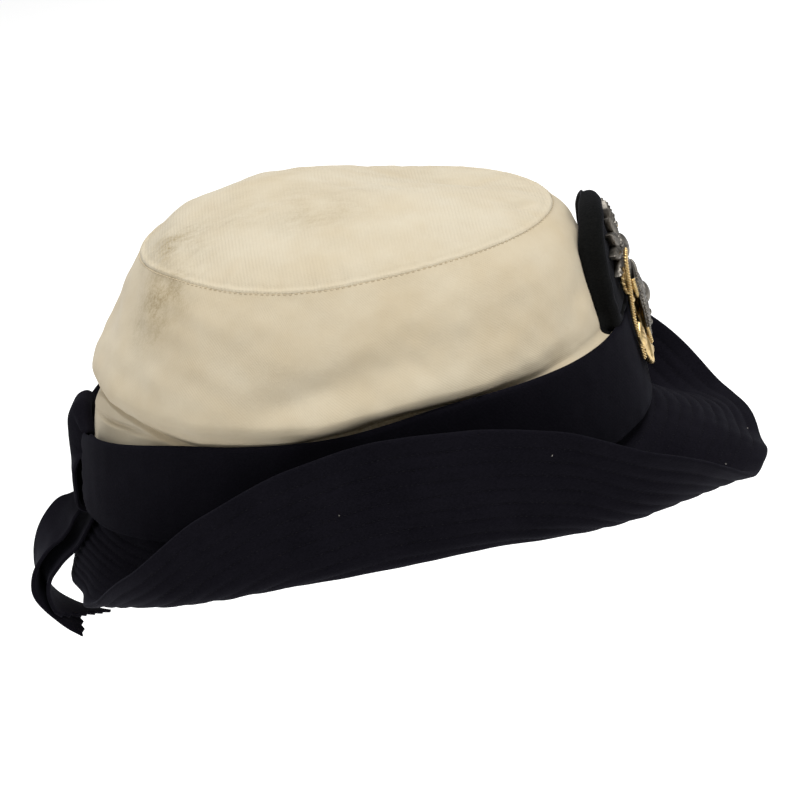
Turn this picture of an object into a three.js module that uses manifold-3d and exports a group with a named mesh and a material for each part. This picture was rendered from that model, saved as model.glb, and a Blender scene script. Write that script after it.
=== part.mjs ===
// A women's naval officer's hat: a soft cotton cover with a sewn top, a stitched wool brim that is
// rolled up at the sides and turned down at the front and back, a wool band tied at the back with a
// loop and two pinked tails, and a metal device on a padded backing at the front.
//
// Millimetres. +X is the front, +Z is up, and the origin is the centre of the head opening, level with
// the lower edge of the band. Angles round the hat are counted from the front, in degrees.

import * as THREE from "three";
import { mergeVertices } from "three/addons/utils/BufferGeometryUtils.js";
import Module from "manifold-3d";

const wasm = await Module();
wasm.setup();

// Driving dimensions
const HEAD_FRONT = 97.5; // inside of the collar, from the origin to the front
const HEAD_BACK = 108; // and to the back
const HEAD_SIDE = 78; // and to each side
const WOOL = 2.4; // brim: two plies of wool sewn together
const COTTON = 1.5; // crown cover
const RIBBON = 1.6; // band, loop and tails
const GAP = 0.4; // clearance between pieces that are sewn or pressed together

const COLLAR_HEIGHT = 8; // brim wool that stands up inside the cover
const BAND_TOP = 38.5;
const LOOP_WIDTH = 25;
const TAIL_WIDTH = 22;

// Number of facets round the hat
const AROUND = 56;

const rad = THREE.MathUtils.degToRad;
const deg = THREE.MathUtils.radToDeg;

// Value of one column of a table at a given place, smooth and never past the rows on either side.
function columnAt(rows, key, column, at) {
  const last = rows.length - 1;
  const x = (i) => rows[i][key];
  const y = (i) => rows[i][column];
  if (at <= x(0)) return y(0);
  if (at >= x(last)) return y(last);
  const k = rows.findIndex((row, i) => i < last && at < x(i + 1));
  const slope = (i) => (y(i + 1) - y(i)) / (x(i + 1) - x(i));
  const tangent = (i) => {
    if (i === 0 || i === last) return 0;
    const before = slope(i - 1);
    const after = slope(i);
    return before * after <= 0 ? 0 : (2 * before * after) / (before + after);
  };
  const span = x(k + 1) - x(k);
  const t = (at - x(k)) / span;
  const t2 = t * t;
  const t3 = t2 * t;
  return (
    (2 * t3 - 3 * t2 + 1) * y(k) +
    (t3 - 2 * t2 + t) * span * tangent(k) +
    (3 * t2 - 2 * t3) * y(k + 1) +
    (t3 - t2) * span * tangent(k + 1)
  );
}

// Angle from the front, 0 to 180, the same on both sides of the hat
const fromFront = (theta) => deg(Math.acos(Math.cos(theta)));

// Point at an angle round the hat, a distance outside the head opening
function ovalPoint(theta, out, z) {
  const c = Math.cos(theta);
  const end = c > 0 ? HEAD_FRONT : HEAD_BACK;
  return new THREE.Vector3((end + out) * c, (HEAD_SIDE + out) * Math.sin(theta), z);
}

// Geometry from rings of points, each ring closed. The rings close on each other, or end in flat caps.
function loft(rings, closed) {
  const n = rings.length;
  const m = rings[0].length;
  const positions = rings.flat().flatMap((p) => [p.x, p.y, p.z]);
  const index = [];
  for (let i = 0; i < (closed ? n : n - 1); i++) {
    for (let j = 0; j < m; j++) {
      const a = i * m + j;
      const b = i * m + ((j + 1) % m);
      const c = ((i + 1) % n) * m + j;
      const d = ((i + 1) % n) * m + ((j + 1) % m);
      index.push(a, b, d, a, d, c);
    }
  }
  if (!closed) {
    // Each end is an even ring of two facing rows, closed by a strip between the rows.
    for (let j = 0; j < m / 2 - 1; j++) {
      const k = m - 1 - j;
      const end = (n - 1) * m;
      index.push(j, k, j + 1, j + 1, k, k - 1);
      index.push(end + j, end + j + 1, end + k, end + j + 1, end + k - 1, end + k);
    }
  }
  const geometry = new THREE.BufferGeometry();
  geometry.setAttribute("position", new THREE.Float32BufferAttribute(positions, 3));
  geometry.setIndex(index);
  return facingOut(geometry);
}

// Turns the faces round if they enclose a negative volume.
function facingOut(geometry) {
  const p = geometry.getAttribute("position");
  const index = geometry.getIndex().array;
  const corner = (i) => new THREE.Vector3().fromBufferAttribute(p, index[i]);
  let volume = 0;
  for (let i = 0; i < index.length; i += 3) {
    volume += corner(i).dot(corner(i + 1).cross(corner(i + 2)));
  }
  if (volume < 0) {
    for (let i = 0; i < index.length; i += 3) {
      [index[i + 1], index[i + 2]] = [index[i + 2], index[i + 1]];
    }
  }
  return geometry;
}

// A copy of a geometry with nothing but its points
function bare(geometry) {
  const copy = geometry.clone();
  copy.deleteAttribute("normal");
  copy.deleteAttribute("uv");
  return copy;
}

// A closed geometry as a solid that can be joined to others
function solidOf(geometry) {
  const merged = mergeVertices(bare(geometry), 1e-4);
  return new wasm.Manifold(
    new wasm.Mesh({
      numProp: 3,
      vertProperties: new Float32Array(merged.getAttribute("position").array),
      triVerts: new Uint32Array(merged.getIndex().array),
    }),
  );
}

// The joined solid of several closed geometries, as one geometry
const join = (geometries) => geometryOf(geometries.map(solidOf).reduce((all, next) => all.add(next)));

function geometryOf(solid) {
  const mesh = solid.getMesh();
  const positions = [];
  for (let i = 0; i < mesh.numVert; i++) {
    positions.push(...mesh.vertProperties.subarray(i * mesh.numProp, i * mesh.numProp + 3));
  }
  const geometry = new THREE.BufferGeometry();
  geometry.setAttribute("position", new THREE.Float32BufferAttribute(positions, 3));
  geometry.setIndex([...mesh.triVerts]);
  return geometry;
}

// Brim
// A row for each section, from the front round to the back. width is along the cloth; start and end are
// the directions it leaves the collar and reaches its edge, 0 outwards and 90 up; from and to are the
// shares of the width between which it bends.
const BRIM_SECTIONS = [
  { angle: 0, width: 48.5, start: -26, end: -42, from: 0.1, to: 0.9 },
  { angle: 15, width: 45.5, start: -36, end: -13, from: 0.3, to: 1 },
  { angle: 30, width: 47.5, start: -46, end: 32, from: 0.19, to: 0.95 },
  { angle: 45, width: 51, start: -45, end: 62, from: 0.12, to: 0.81 },
  { angle: 60, width: 57, start: -45, end: 86, from: 0.06, to: 0.63 },
  { angle: 75, width: 63.5, start: -46, end: 91, from: 0.01, to: 0.46 },
  { angle: 90, width: 65.7, start: -54, end: 93, from: 0.02, to: 0.38 },
  { angle: 105, width: 61, start: -51, end: 93, from: 0.03, to: 0.45 },
  { angle: 120, width: 55.1, start: -48, end: 91, from: 0.08, to: 0.63 },
  { angle: 135, width: 43.4, start: -52, end: 65, from: 0.16, to: 0.86 },
  { angle: 150, width: 34.6, start: -62, end: 14, from: 0.27, to: 0.92 },
  { angle: 165, width: 28.4, start: -46, end: -61, from: 0.21, to: 0.91 },
  { angle: 180, width: 32.6, start: -32, end: -69, from: 0.1, to: 0.74 },
];
const BRIM_TURN = 5; // length over which the collar turns out into the brim
const BRIM_STEPS = [0, 0.08, 0.2, 0.32, 0.44, 0.56, 0.68, 0.84, 1]; // shares of the width that get a facet
const WALK = 0.5; // step along the cloth

// Middle line of the brim's cloth at an angle: places outside the head opening, heights and directions
function brimLine(theta) {
  const at = fromFront(theta);
  const value = (column) => columnAt(BRIM_SECTIONS, "angle", column, at);
  const width = value("width");
  const start = value("start");
  const end = value("end");
  const smooth = (t) => THREE.MathUtils.smoothstep(t, 0, 1);
  const direction = (s) => {
    const past = s - COLLAR_HEIGHT;
    if (past < 0) return -90;
    if (past < BRIM_TURN) return -90 + (start + 90) * smooth(past / BRIM_TURN);
    const share = (past - BRIM_TURN) / width;
    return start + (end - start) * smooth((share - value("from")) / (value("to") - value("from")));
  };
  const turn = [0, 0.5].map((share) => COLLAR_HEIGHT + share * BRIM_TURN);
  const stops = [0, ...turn, ...BRIM_STEPS.map((share) => COLLAR_HEIGHT + BRIM_TURN + share * width)];
  const line = [];
  let [out, z, s] = [WOOL / 2, COLLAR_HEIGHT, 0];
  for (const stop of stops) {
    while (s < stop - 1e-6) {
      const step = Math.min(WALK, stop - s);
      const heading = rad(direction(s + step / 2));
      out += step * Math.cos(heading);
      z += step * Math.sin(heading);
      s += step;
    }
    line.push({ out, z, heading: rad(direction(s)) });
  }
  return line;
}

function brimRing(theta) {
  const line = brimLine(theta);
  const face = (side) =>
    line.map(({ out, z, heading }) => {
      const half = (side * WOOL) / 2;
      return ovalPoint(theta, out - half * Math.sin(heading), z + half * Math.cos(heading));
    });
  const edge = line[line.length - 1];
  const nose = ovalPoint(
    theta,
    edge.out + Math.cos(edge.heading) * (WOOL / 2),
    edge.z + Math.sin(edge.heading) * (WOOL / 2),
  );
  return [...face(1), nose, ...face(-1).reverse()];
}

// Angles of the facets round the hat
const turns = (count) => Array.from({ length: count }, (unused, i) => (2 * Math.PI * i) / count);

const brimGeometry = () => loft(turns(AROUND).map(brimRing), true);

// Crown cover
// Outside of the cover where the band goes round it: upright round the collar, then leaning in. Distances
// from the origin.
const FOOT_UPRIGHT = 9;
const FOOT_LOW = { front: 101.8, side: 82.3, back: 112.3 };
const FOOT_TOP = { front: 98.3, side: 82.3, back: 105.5 };

// A row for each level of the cover's outside, from the hem up to the seam of the top. front, side and
// back are distances from the origin, and zFront, zSide and zBack the heights there.
const COVER_LEVELS = [
  { level: 0, ...footAt(2), zFront: 2, zSide: 2, zBack: 2 },
  { level: 1, ...footAt(FOOT_UPRIGHT), zFront: FOOT_UPRIGHT, zSide: FOOT_UPRIGHT, zBack: FOOT_UPRIGHT },
  { level: 2, ...footAt(35), zFront: 35, zSide: 35, zBack: 35 },
  { level: 3, front: 93.5, side: 82.3, back: 101, zFront: 40, zSide: 39, zBack: 47 },
  { level: 4, front: 91.5, side: 85, back: 102.5, zFront: 50, zSide: 45.5, zBack: 54 },
  { level: 5, front: 88.5, side: 82, back: 97, zFront: 65, zSide: 62, zBack: 68 },
  { level: 6, front: 84, side: 76, back: 87.5, zFront: 77, zSide: 77, zBack: 83 },
  { level: 7, front: 79.5, side: 69, back: 75, zFront: 82, zSide: 86.5, zBack: 97 },
];
const NECK_LEVEL = 3; // where the cover comes out over the band
const SEAM_LEVEL = COVER_LEVELS.length - 1;
const CROWN_TILT = 0.022; // the crown has sunk a little to the wearer's left
const COVER_STOPS = [0.05, 1, 2, 2.5, 3, 3.4, 4, 4.6, 5.3, 6, 6.6]; // levels with a facet below the seam

// Distances of the cover's outside at a height behind the band
function footAt(z) {
  const share = Math.max(0, (z - FOOT_UPRIGHT) / (BAND_TOP - FOOT_UPRIGHT));
  const value = (column) => THREE.MathUtils.lerp(FOOT_LOW[column], FOOT_TOP[column], share);
  return { front: value("front"), side: value("side"), back: value("back") };
}

// The top is a low dome, higher towards the back, from the seam to its middle.
const TOP_MIDDLE = { x: -14, z: 106 };
const DOME_POWER = 2.2; // the higher, the flatter the middle
const TOP_STEPS = 6;
const TOP_INMOST = 0.985; // share of the way to the middle where the top's facets meet in a fan
const SETTLE = 0.3; // share of the way to the middle over which its folds come in
const SEAM_BELOW = 0.02; // levels by which the side ends below the seam, and the top starts above it
const SEAM_ABOVE = 0.0075;

// Shallow dents and ridges of the top: where each lies, its half length and half width, the direction of
// its length from the front, and how far it stands up
const TOP_FOLDS = [
  { x: -38, y: 16, long: 28, wide: 30, turn: 0, rise: 5.5 },
  { x: 34, y: 26, long: 38, wide: 30, turn: 0, rise: -6.5 },
  { x: 48, y: -30, long: 22, wide: 8, turn: 35, rise: 1.2 },
];

// Outside of the cover at an angle and level. Above the seam the level runs on to 1 more at the middle.
function coverOutside(theta, level) {
  const seam = Math.min(level, SEAM_LEVEL);
  const value = (column) => columnAt(COVER_LEVELS, "level", column, seam);
  const c = Math.cos(theta);
  const ends = c > 0 ? ["front", "zFront"] : ["back", "zBack"];
  const x = value(ends[0]) * c;
  const y = value("side") * Math.sin(theta);
  const upper = THREE.MathUtils.smoothstep(seam, NECK_LEVEL, SEAM_LEVEL);
  const z = value("zSide") + (value(ends[1]) - value("zSide")) * c * c - CROWN_TILT * upper * y;
  const share = THREE.MathUtils.clamp(level - SEAM_LEVEL, 0, 1);
  const rise = 1 - (1 - share) ** DOME_POWER;
  const point = new THREE.Vector3(
    x + (TOP_MIDDLE.x - x) * share,
    y * (1 - share),
    z + (TOP_MIDDLE.z - z) * rise,
  );
  const settled = THREE.MathUtils.smoothstep(share, 0, SETTLE);
  for (const fold of TOP_FOLDS) {
    const turn = rad(fold.turn);
    const dx = point.x - fold.x;
    const dy = point.y - fold.y;
    const along = (dx * Math.cos(turn) + dy * Math.sin(turn)) / fold.long;
    const across = (dy * Math.cos(turn) - dx * Math.sin(turn)) / fold.wide;
    point.z += settled * fold.rise * Math.exp(-(along * along) - across * across);
  }
  return point;
}

// Inside of the cover: a cloth's thickness in from the outside
function coverInside(theta, level) {
  const d = 0.03; // small step for the slopes
  const here = coverOutside(theta, level);
  const rise = coverOutside(theta, level + d).sub(here).normalize();
  const up = rise.add(here.clone().sub(coverOutside(theta, level - d)).normalize());
  const round = coverOutside(theta + d, level).sub(coverOutside(theta - d, level));
  const normal = round.cross(up).normalize();
  return here.addScaledVector(normal, -COTTON);
}

function coverSideRing(theta) {
  const levels = [...COVER_STOPS, SEAM_LEVEL - SEAM_BELOW];
  const outside = levels.map((level) => coverOutside(theta, level));
  const inside = levels.map((level) => coverInside(theta, level));
  return [...outside, ...inside.reverse()];
}

const coverSideGeometry = () => loft(turns(AROUND).map(coverSideRing), true);

// The top's rings run from its middle out to the seam above and back to the middle below.
function coverTopGeometry() {
  const levels = evenly(TOP_STEPS - 1).map(
    (t) => SEAM_LEVEL + THREE.MathUtils.lerp(TOP_INMOST, SEAM_ABOVE, t),
  );
  const above = levels.map((level) => turns(AROUND).map((theta) => coverOutside(theta, level)));
  const below = levels.map((level) => turns(AROUND).map((theta) => coverInside(theta, level)));
  return capped([...above, ...below.reverse()]);
}

// Rings whose first and last are each closed by a fan to their middle
function capped(rings) {
  const m = rings[0].length;
  const middle = (ring) => ring.reduce((sum, p) => sum.add(p), new THREE.Vector3()).divideScalar(m);
  const points = [...rings.flat(), middle(rings[0]), middle(rings[rings.length - 1])];
  const first = points.length - 2;
  const last = points.length - 1;
  const index = [];
  rings.slice(1).forEach((ring, i) => {
    for (let j = 0; j < m; j++) {
      const k = (j + 1) % m;
      index.push(i * m + j, i * m + k, (i + 1) * m + k, i * m + j, (i + 1) * m + k, (i + 1) * m + j);
    }
  });
  for (let j = 0; j < m; j++) {
    const k = (j + 1) % m;
    const end = (rings.length - 1) * m;
    index.push(first, k, j, last, end + j, end + k);
  }
  const geometry = new THREE.BufferGeometry();
  geometry.setAttribute(
    "position",
    new THREE.Float32BufferAttribute(points.flatMap((p) => [p.x, p.y, p.z]), 3),
  );
  geometry.setIndex(index);
  return facingOut(geometry);
}

// Point outside the cover's foot at an angle and height
function footPoint(theta, z, out) {
  const foot = footAt(z);
  const c = Math.cos(theta);
  const end = c > 0 ? foot.front : foot.back;
  return new THREE.Vector3((end + out) * c, (foot.side + out) * Math.sin(theta), z);
}

// Band
// Its upper end lies on the wearer's right of the loop, and the lower end runs on through the loop and
// under it. lift is how far it stands off the cover, and low and top the heights of its edges.
const BAND_COURSE = [
  { turn: 192.5, lift: 4.7, low: 2.8, top: 34.3 },
  { turn: 203, lift: 4.6, low: 2, top: 36.6 },
  { turn: 232, lift: 0, low: 0.6, top: BAND_TOP },
  { turn: 258, lift: 0, low: 0.6, top: BAND_TOP },
  { turn: 286, lift: 1.6, low: 0.6, top: 42.2 },
  { turn: 318, lift: 0, low: 0.6, top: BAND_TOP },
  { turn: 492, lift: 0, low: 0.6, top: BAND_TOP },
  { turn: 524, lift: 2.5, low: 2.8, top: 36.8 },
  { turn: 559, lift: 2.5, low: 2.8, top: 36 },
];
const BAND_FACETS = 60;
const BAND_DEGREE = 1.6; // length of the band for each degree that it turns
const PINK_PITCH = 4.6; // teeth of the pinked ends
const PINK_DEPTH = 2.2;
const PINK_REACH = 1.2; // width of the row of teeth, for each width of the strip that it cuts

// The band is cut flat, a share of its length along and of its height up, and then laid round the foot.
function bandGeometry() {
  const first = BAND_COURSE[0].turn;
  const last = BAND_COURSE[BAND_COURSE.length - 1].turn;
  const length = (last - first) * BAND_DEGREE;
  const flat = new THREE.BoxGeometry(length, BAND_TOP, RIBBON, BAND_FACETS, 2, 1);
  flat.translate(length / 2, BAND_TOP / 2, RIBBON / 2);
  const end = new THREE.Vector3(0, BAND_TOP / 2, RIBBON / 2);
  const upright = new THREE.Vector3(0, 1, 0);
  const band = pinked(flat, end, upright, new THREE.Vector3(-1, 0, 0), BAND_TOP);
  const p = band.getAttribute("position");
  for (let i = 0; i < p.count; i++) {
    const turn = first + p.getX(i) / BAND_DEGREE;
    const lift = columnAt(BAND_COURSE, "turn", "lift", turn);
    const low = columnAt(BAND_COURSE, "turn", "low", turn);
    const up = (2 * p.getY(i)) / BAND_TOP;
    const lean = (columnAt(BAND_COURSE, "turn", "top", turn) - FOOT_UPRIGHT) * (up - 1);
    const z = up < 1 ? low + (FOOT_UPRIGHT - low) * up : FOOT_UPRIGHT + lean;
    const place = footPoint(rad(turn), z, GAP + lift + p.getZ(i));
    p.setXYZ(i, place.x, place.y, place.z);
  }
  return facingOut(band);
}

// Cuts the end of a strip into teeth. The end is given by its middle, the direction across the strip, the
// direction beyond the end, the width of the strip and how much is cut away beyond the end.
function pinked(strip, middle, across, beyond, stripWidth, reach = 4 * PINK_DEPTH) {
  const width = PINK_REACH * stripWidth;
  const teeth = Math.round(width / PINK_PITCH);
  const outline = [];
  for (let i = 0; i <= 2 * teeth; i++) {
    outline.push(new THREE.Vector2((i / (2 * teeth) - 0.5) * width, i % 2 === 0 ? 0 : -PINK_DEPTH));
  }
  outline.push(new THREE.Vector2(width / 2, reach), new THREE.Vector2(-width / 2, reach));
  const depth = 10 * RIBBON;
  const cutter = new THREE.ExtrudeGeometry(new THREE.Shape(outline), { depth, bevelEnabled: false });
  cutter.translate(0, 0, -depth / 2);
  const y = beyond.clone().normalize();
  const x = across.clone().addScaledVector(y, -across.dot(y)).normalize();
  cutter.applyMatrix4(new THREE.Matrix4().makeBasis(x, y, x.clone().cross(y)).setPosition(middle));
  return geometryOf(solidOf(strip).subtract(solidOf(cutter)));
}

// Bow at the back
// Middle line of the loop, from under the band up inside it, over the top and down outside, and those of
// the two tails. twist turns the ribbon about its length, clockwise as seen from where it starts.
const LOOP_LINE = [
  { x: -113.7, z: 1 },
  { x: -113.5, z: 8.5 },
  { x: -109.9, z: 26 },
  { x: -107.6, z: 34.6 },
  { x: -107.2, z: 37.6 },
  { x: -109.2, z: 39.8 },
  { x: -112.6, z: 39.4 },
  { x: -115.6, z: 35.6 },
  { x: -117.6, z: 28 },
  { x: -119, z: 18 },
  { x: -120.6, z: 8 },
  { x: -120.7, z: 1.2 },
  { x: -117, z: -0.9 },
];
const LOOP_FACETS = 26;
const BACK_RADIUS = 64; // roundness of the back of the band, seen from above
const TAIL_OUTER = [
  { x: -122.9, y: 0, z: -0.3, twist: -2 },
  { x: -125.4, y: -0.8, z: -2.4, twist: -10 },
  { x: -128.6, y: -1, z: -4.6, twist: -18 },
  { x: -132.4, y: -1.5, z: -7.5, twist: -20 },
  { x: -136.8, y: -2, z: -11.1, twist: -15 },
  { x: -141.2, y: -2.5, z: -16.3, twist: -9 },
  { x: -144.3, y: -3, z: -22.4, twist: -3 },
  { x: -145.7, y: -3, z: -29.4, twist: 0 },
  { x: -142.8, y: -2.5, z: -37.5, twist: 0 },
  { x: -137.2, y: -1.6, z: -46.6, twist: -1 },
  { x: -131, y: -1.4, z: -52.4, twist: 1 },
];
const TAIL_INNER = [
  { x: -122.4, y: 0, z: -4.8, twist: 0 },
  { x: -125.4, y: -2, z: -7.6, twist: -4 },
  { x: -129.2, y: -2.8, z: -12, twist: -14 },
  { x: -134.4, y: -3, z: -17.4, twist: -12 },
  { x: -138.2, y: -2.8, z: -22.8, twist: -6 },
  { x: -140.7, y: -3, z: -30.9, twist: -2 },
  { x: -139.1, y: -3.6, z: -39.7, twist: 0 },
  { x: -133.4, y: -4.4, z: -46.5, twist: 0 },
  { x: -126.1, y: -5, z: -50.4, twist: 1 },
  { x: -121, y: -5, z: -53, twist: 3 },
];
const TAIL_SLANT = { outer: -5, inner: 22 }; // how much longer the end is cut on the wearer's left
const TAIL_FACETS = 12;
const RIBBON_COLUMNS = 4;
const TAIL_CUP = 1.4; // how far the middle of a tail stands out from its edges

// Rings of a ribbon at stops along a line. shift moves each point of its middle ply by how far it lies
// across the ribbon.
function ribbonRings(curve, stops, width, twistAt, shift) {
  return stops.map((t) => {
    const middle = curve.getPointAt(t % 1);
    const tangent = curve.getTangentAt(t % 1);
    const across = new THREE.Vector3(0, 1, 0).applyAxisAngle(tangent, rad(twistAt(t)));
    across.addScaledVector(tangent, -across.dot(tangent)).normalize();
    const normal = tangent.clone().cross(across);
    const face = (side) =>
      Array.from({ length: RIBBON_COLUMNS + 1 }, (unused, i) => {
        const y = (i / RIBBON_COLUMNS - 0.5) * width;
        const place = middle.clone().addScaledVector(across, y);
        return shift(place, y, normal).addScaledVector(normal, (side * RIBBON) / 2);
      });
    return [...face(1), ...face(-1).reverse()];
  });
}

const evenly = (count) => Array.from({ length: count + 1 }, (unused, i) => i / count);

function loopGeometry() {
  const curve = new THREE.CatmullRomCurve3(LOOP_LINE.map(({ x, z }) => new THREE.Vector3(x, 0, z)), true);
  const round = (place, y) => place.setX(place.x + (y * y) / (2 * BACK_RADIUS));
  return loft(ribbonRings(curve, evenly(LOOP_FACETS).slice(0, -1), LOOP_WIDTH, () => 0, round), true);
}

function tailGeometry(line, slant) {
  const curve = new THREE.CatmullRomCurve3(line.map(({ x, y, z }) => new THREE.Vector3(x, y, z)));
  const rows = line.map((row, i) => ({ ...row, share: i / (line.length - 1) }));
  const twistAt = (t) => columnAt(rows, "share", "twist", t);
  const cup = (place, y, normal) => {
    const share = (2 * y) / TAIL_WIDTH;
    return place.addScaledVector(normal, TAIL_CUP * (1 - share * share));
  };
  const stops = evenly(TAIL_FACETS).map((t) => Math.min(t, 1 - 1e-6));
  const rings = ribbonRings(curve, stops, TAIL_WIDTH, twistAt, cup);
  const cut = 1 - Math.abs(slant) / 2 / curve.getLength();
  const along = curve.getTangentAt(cut);
  const across = new THREE.Vector3(0, 1, 0).applyAxisAngle(along, rad(twistAt(cut)));
  const edge = across.clone().multiplyScalar(TAIL_WIDTH).addScaledVector(along, slant);
  const beyond = along.clone().multiplyScalar(TAIL_WIDTH).addScaledVector(across, -slant);
  const reach = 4 * PINK_DEPTH + Math.abs(slant);
  return pinked(loft(rings, false), curve.getPointAt(cut), edge, beyond, edge.length(), reach);
}

// Badge
// Its pieces are laid out flat, across, up and out from the back of the device, and bent round the front.
const BADGE_RADIUS = 72;
const BADGE_FRONT = 104.4; // back of the device at its foot
const BADGE_FOOT = 8;
const BADGE_LEAN = 6; // degrees that it leans back

function bent(geometry) {
  const p = geometry.getAttribute("position");
  const lean = rad(BADGE_LEAN);
  for (let i = 0; i < p.count; i++) {
    const turn = p.getX(i) / BADGE_RADIUS;
    const reach = BADGE_RADIUS + p.getZ(i) * Math.cos(lean);
    p.setXYZ(
      i,
      BADGE_FRONT - BADGE_RADIUS + reach * Math.cos(turn) - p.getY(i) * Math.sin(lean),
      -reach * Math.sin(turn),
      BADGE_FOOT + p.getY(i) * Math.cos(lean) + p.getZ(i) * Math.sin(lean),
    );
  }
  return facingOut(geometry);
}

// Padded backing: half widths of its outline from the foot to the top, and its rounding from back to front
const PAD_OUTLINE = [
  { up: 31.7, half: 8.5 },
  { up: 31.7, half: 17 },
  { up: 31.7, half: 25.5 },
  { up: 33.4, half: 29.4 },
  { up: 42, half: 31.8 },
  { up: 52, half: 31.5 },
  { up: 62, half: 26.5 },
  { up: 69, half: 16 },
  { up: 72, half: 6.5 },
];
const PAD_MIDDLE = 50;
const PAD_ROUNDING = [
  { scale: 0.05, out: -4.9 },
  { scale: 0.5, out: -4.9 },
  { scale: 0.93, out: -4.7 },
  { scale: 1, out: -3.8 },
  { scale: 1, out: -2.2 },
  { scale: 0.95, out: -1 },
  { scale: 0.85, out: -0.5 },
  { scale: 0.5, out: -0.5 },
  { scale: 0.05, out: -0.5 },
];

function padGeometry() {
  const right = PAD_OUTLINE.map(({ up, half }) => new THREE.Vector2(half, up));
  const left = PAD_OUTLINE.map(({ up, half }) => new THREE.Vector2(-half, up)).reverse();
  const outline = [...right, ...left];
  const rings = PAD_ROUNDING.map(({ scale, out }) =>
    outline.map(({ x, y }) => new THREE.Vector3(x * scale, PAD_MIDDLE + (y - PAD_MIDDLE) * scale, out)),
  );
  return bent(capped(rings));
}

// Gold device: two anchors crossed at the middle
const ANCHOR = {
  lean: 33, // degrees that each shank leans from upright
  cross: 24, // height of the crossing
  below: 22, // length of the shank below the crossing
  above: 20, // and above it
  out: 1.7, // middle of the shank from the back of the device
  shank: 1.5, // radius of the shank
  arms: 1.3, // radius of the arms
  reach: 11, // half width of the arms
  rise: 7, // height of their ends above the foot of the shank
  stock: 1.1, // radius of the stock
  span: 7.5, // half length of the stock
  drop: 3, // stock below the top of the shank
  ring: 2.7, // radius of the ring
  wire: 0.9, // radius of its wire
};
const ARM_BEND = { share: 0.62, rise: 1.8 }; // middle of each arm
const FLUKE = { long: 7, wide: 6, thick: 2, splay: 18, inset: 0.6, foot: 4.6 };
const ROPE = { radius: 0.8, sway: 3.4, waves: 1.6, start: 1, short: 8, sunk: 0.4 };

// A round bar along a curve
function bar(curve, radius, steps, sides = 6) {
  const shape = new THREE.Shape(
    Array.from({ length: sides }, (unused, i) => {
      const turn = (2 * Math.PI * i) / sides;
      return new THREE.Vector2(radius * Math.cos(turn), radius * Math.sin(turn));
    }),
  );
  return new THREE.ExtrudeGeometry(shape, { steps, extrudePath: curve, bevelEnabled: false });
}

const point = (x, y, z) => new THREE.Vector3(x, y, z);

// One anchor, upright, its crossing at the origin and its back on the plane of the device's back
function anchorPieces() {
  const { below, above, out, shank, reach, rise, span, drop } = ANCHOR;
  const arms = new THREE.CatmullRomCurve3([
    point(-reach, rise - below, out),
    point(-ARM_BEND.share * reach, ARM_BEND.rise - below, out),
    point(0, -below, out),
    point(ARM_BEND.share * reach, ARM_BEND.rise - below, out),
    point(reach, rise - below, out),
  ]);
  const front = out + shank + ROPE.sunk * ROPE.radius;
  const rope = new THREE.CatmullRomCurve3(
    evenly(12).map((t) => {
      const across = ROPE.sway * Math.sin(2 * Math.PI * ROPE.waves * t);
      return point(across, above - ROPE.start - t * (below + above - ROPE.short), front);
    }),
  );
  const flukes = [-1, 1].map((side) => {
    const blade = new THREE.Shape([
      new THREE.Vector2(-FLUKE.wide / 2, 0),
      new THREE.Vector2(FLUKE.wide / 2, 0),
      new THREE.Vector2(0, FLUKE.long),
    ]);
    const geometry = new THREE.ExtrudeGeometry(blade, { depth: FLUKE.thick, bevelEnabled: false });
    geometry.rotateZ(-side * rad(FLUKE.splay));
    geometry.translate(side * (reach - FLUKE.inset), FLUKE.foot - below, out - FLUKE.thick / 2);
    return geometry;
  });
  const eye = new THREE.TorusGeometry(ANCHOR.ring, ANCHOR.wire, 4, 10);
  eye.translate(0, above + ANCHOR.ring, out);
  const stock = new THREE.LineCurve3(point(-span, above - drop, out), point(span, above - drop, out));
  return [
    bar(new THREE.LineCurve3(point(0, -below, out), point(0, above + ANCHOR.wire, out)), shank, 6),
    bar(stock, ANCHOR.stock, 3),
    bar(arms, ANCHOR.arms, 8, 5),
    bar(rope, ROPE.radius, 18, 4),
    eye,
    ...flukes,
  ];
}

function anchorsGeometry() {
  const pieces = [-1, 1].flatMap((side) =>
    anchorPieces().map((piece) => piece.rotateZ(-side * rad(ANCHOR.lean)).translate(0, ANCHOR.cross, 0)),
  );
  return bent(join(pieces));
}

// Silver device: half widths of the shield from its point to its top, its dome, and the leaves above it
const SHIELD_OUTLINE = [
  { up: 12.5, half: 1.2 },
  { up: 16, half: 5.5 },
  { up: 21, half: 8.8 },
  { up: 28, half: 10.4 },
  { up: 36, half: 10.6 },
  { up: 40, half: 10 },
];
const SHIELD_MIDDLE = 28;
const SHIELD_DOME = [
  { scale: 0.05, out: 5 },
  { scale: 0.6, out: 5 },
  { scale: 1, out: 4.8 },
  { scale: 1, out: 5.4 },
  { scale: 0.86, out: 6.1 },
  { scale: 0.5, out: 6.9 },
  { scale: 0.05, out: 7.3 },
];
const LEAVES = [
  { turn: 12, from: 6, long: 15.5 },
  { turn: 33, from: 6, long: 15.5 },
  { turn: 54, from: 5, long: 14.5 },
  { turn: 76, from: 4, long: 13.5 },
];
const LEAF = { root: 50, wide: 2.9, thick: 1.5, out: 2, overlap: 1 };
const KNOB = { radius: 5.2, flat: 0.55, out: 3.2 }; // where the leaves meet
const NECK = { radius: 1.2, low: 36, lowOut: 6, highOut: 4 }; // joins the leaves to the shield

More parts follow.
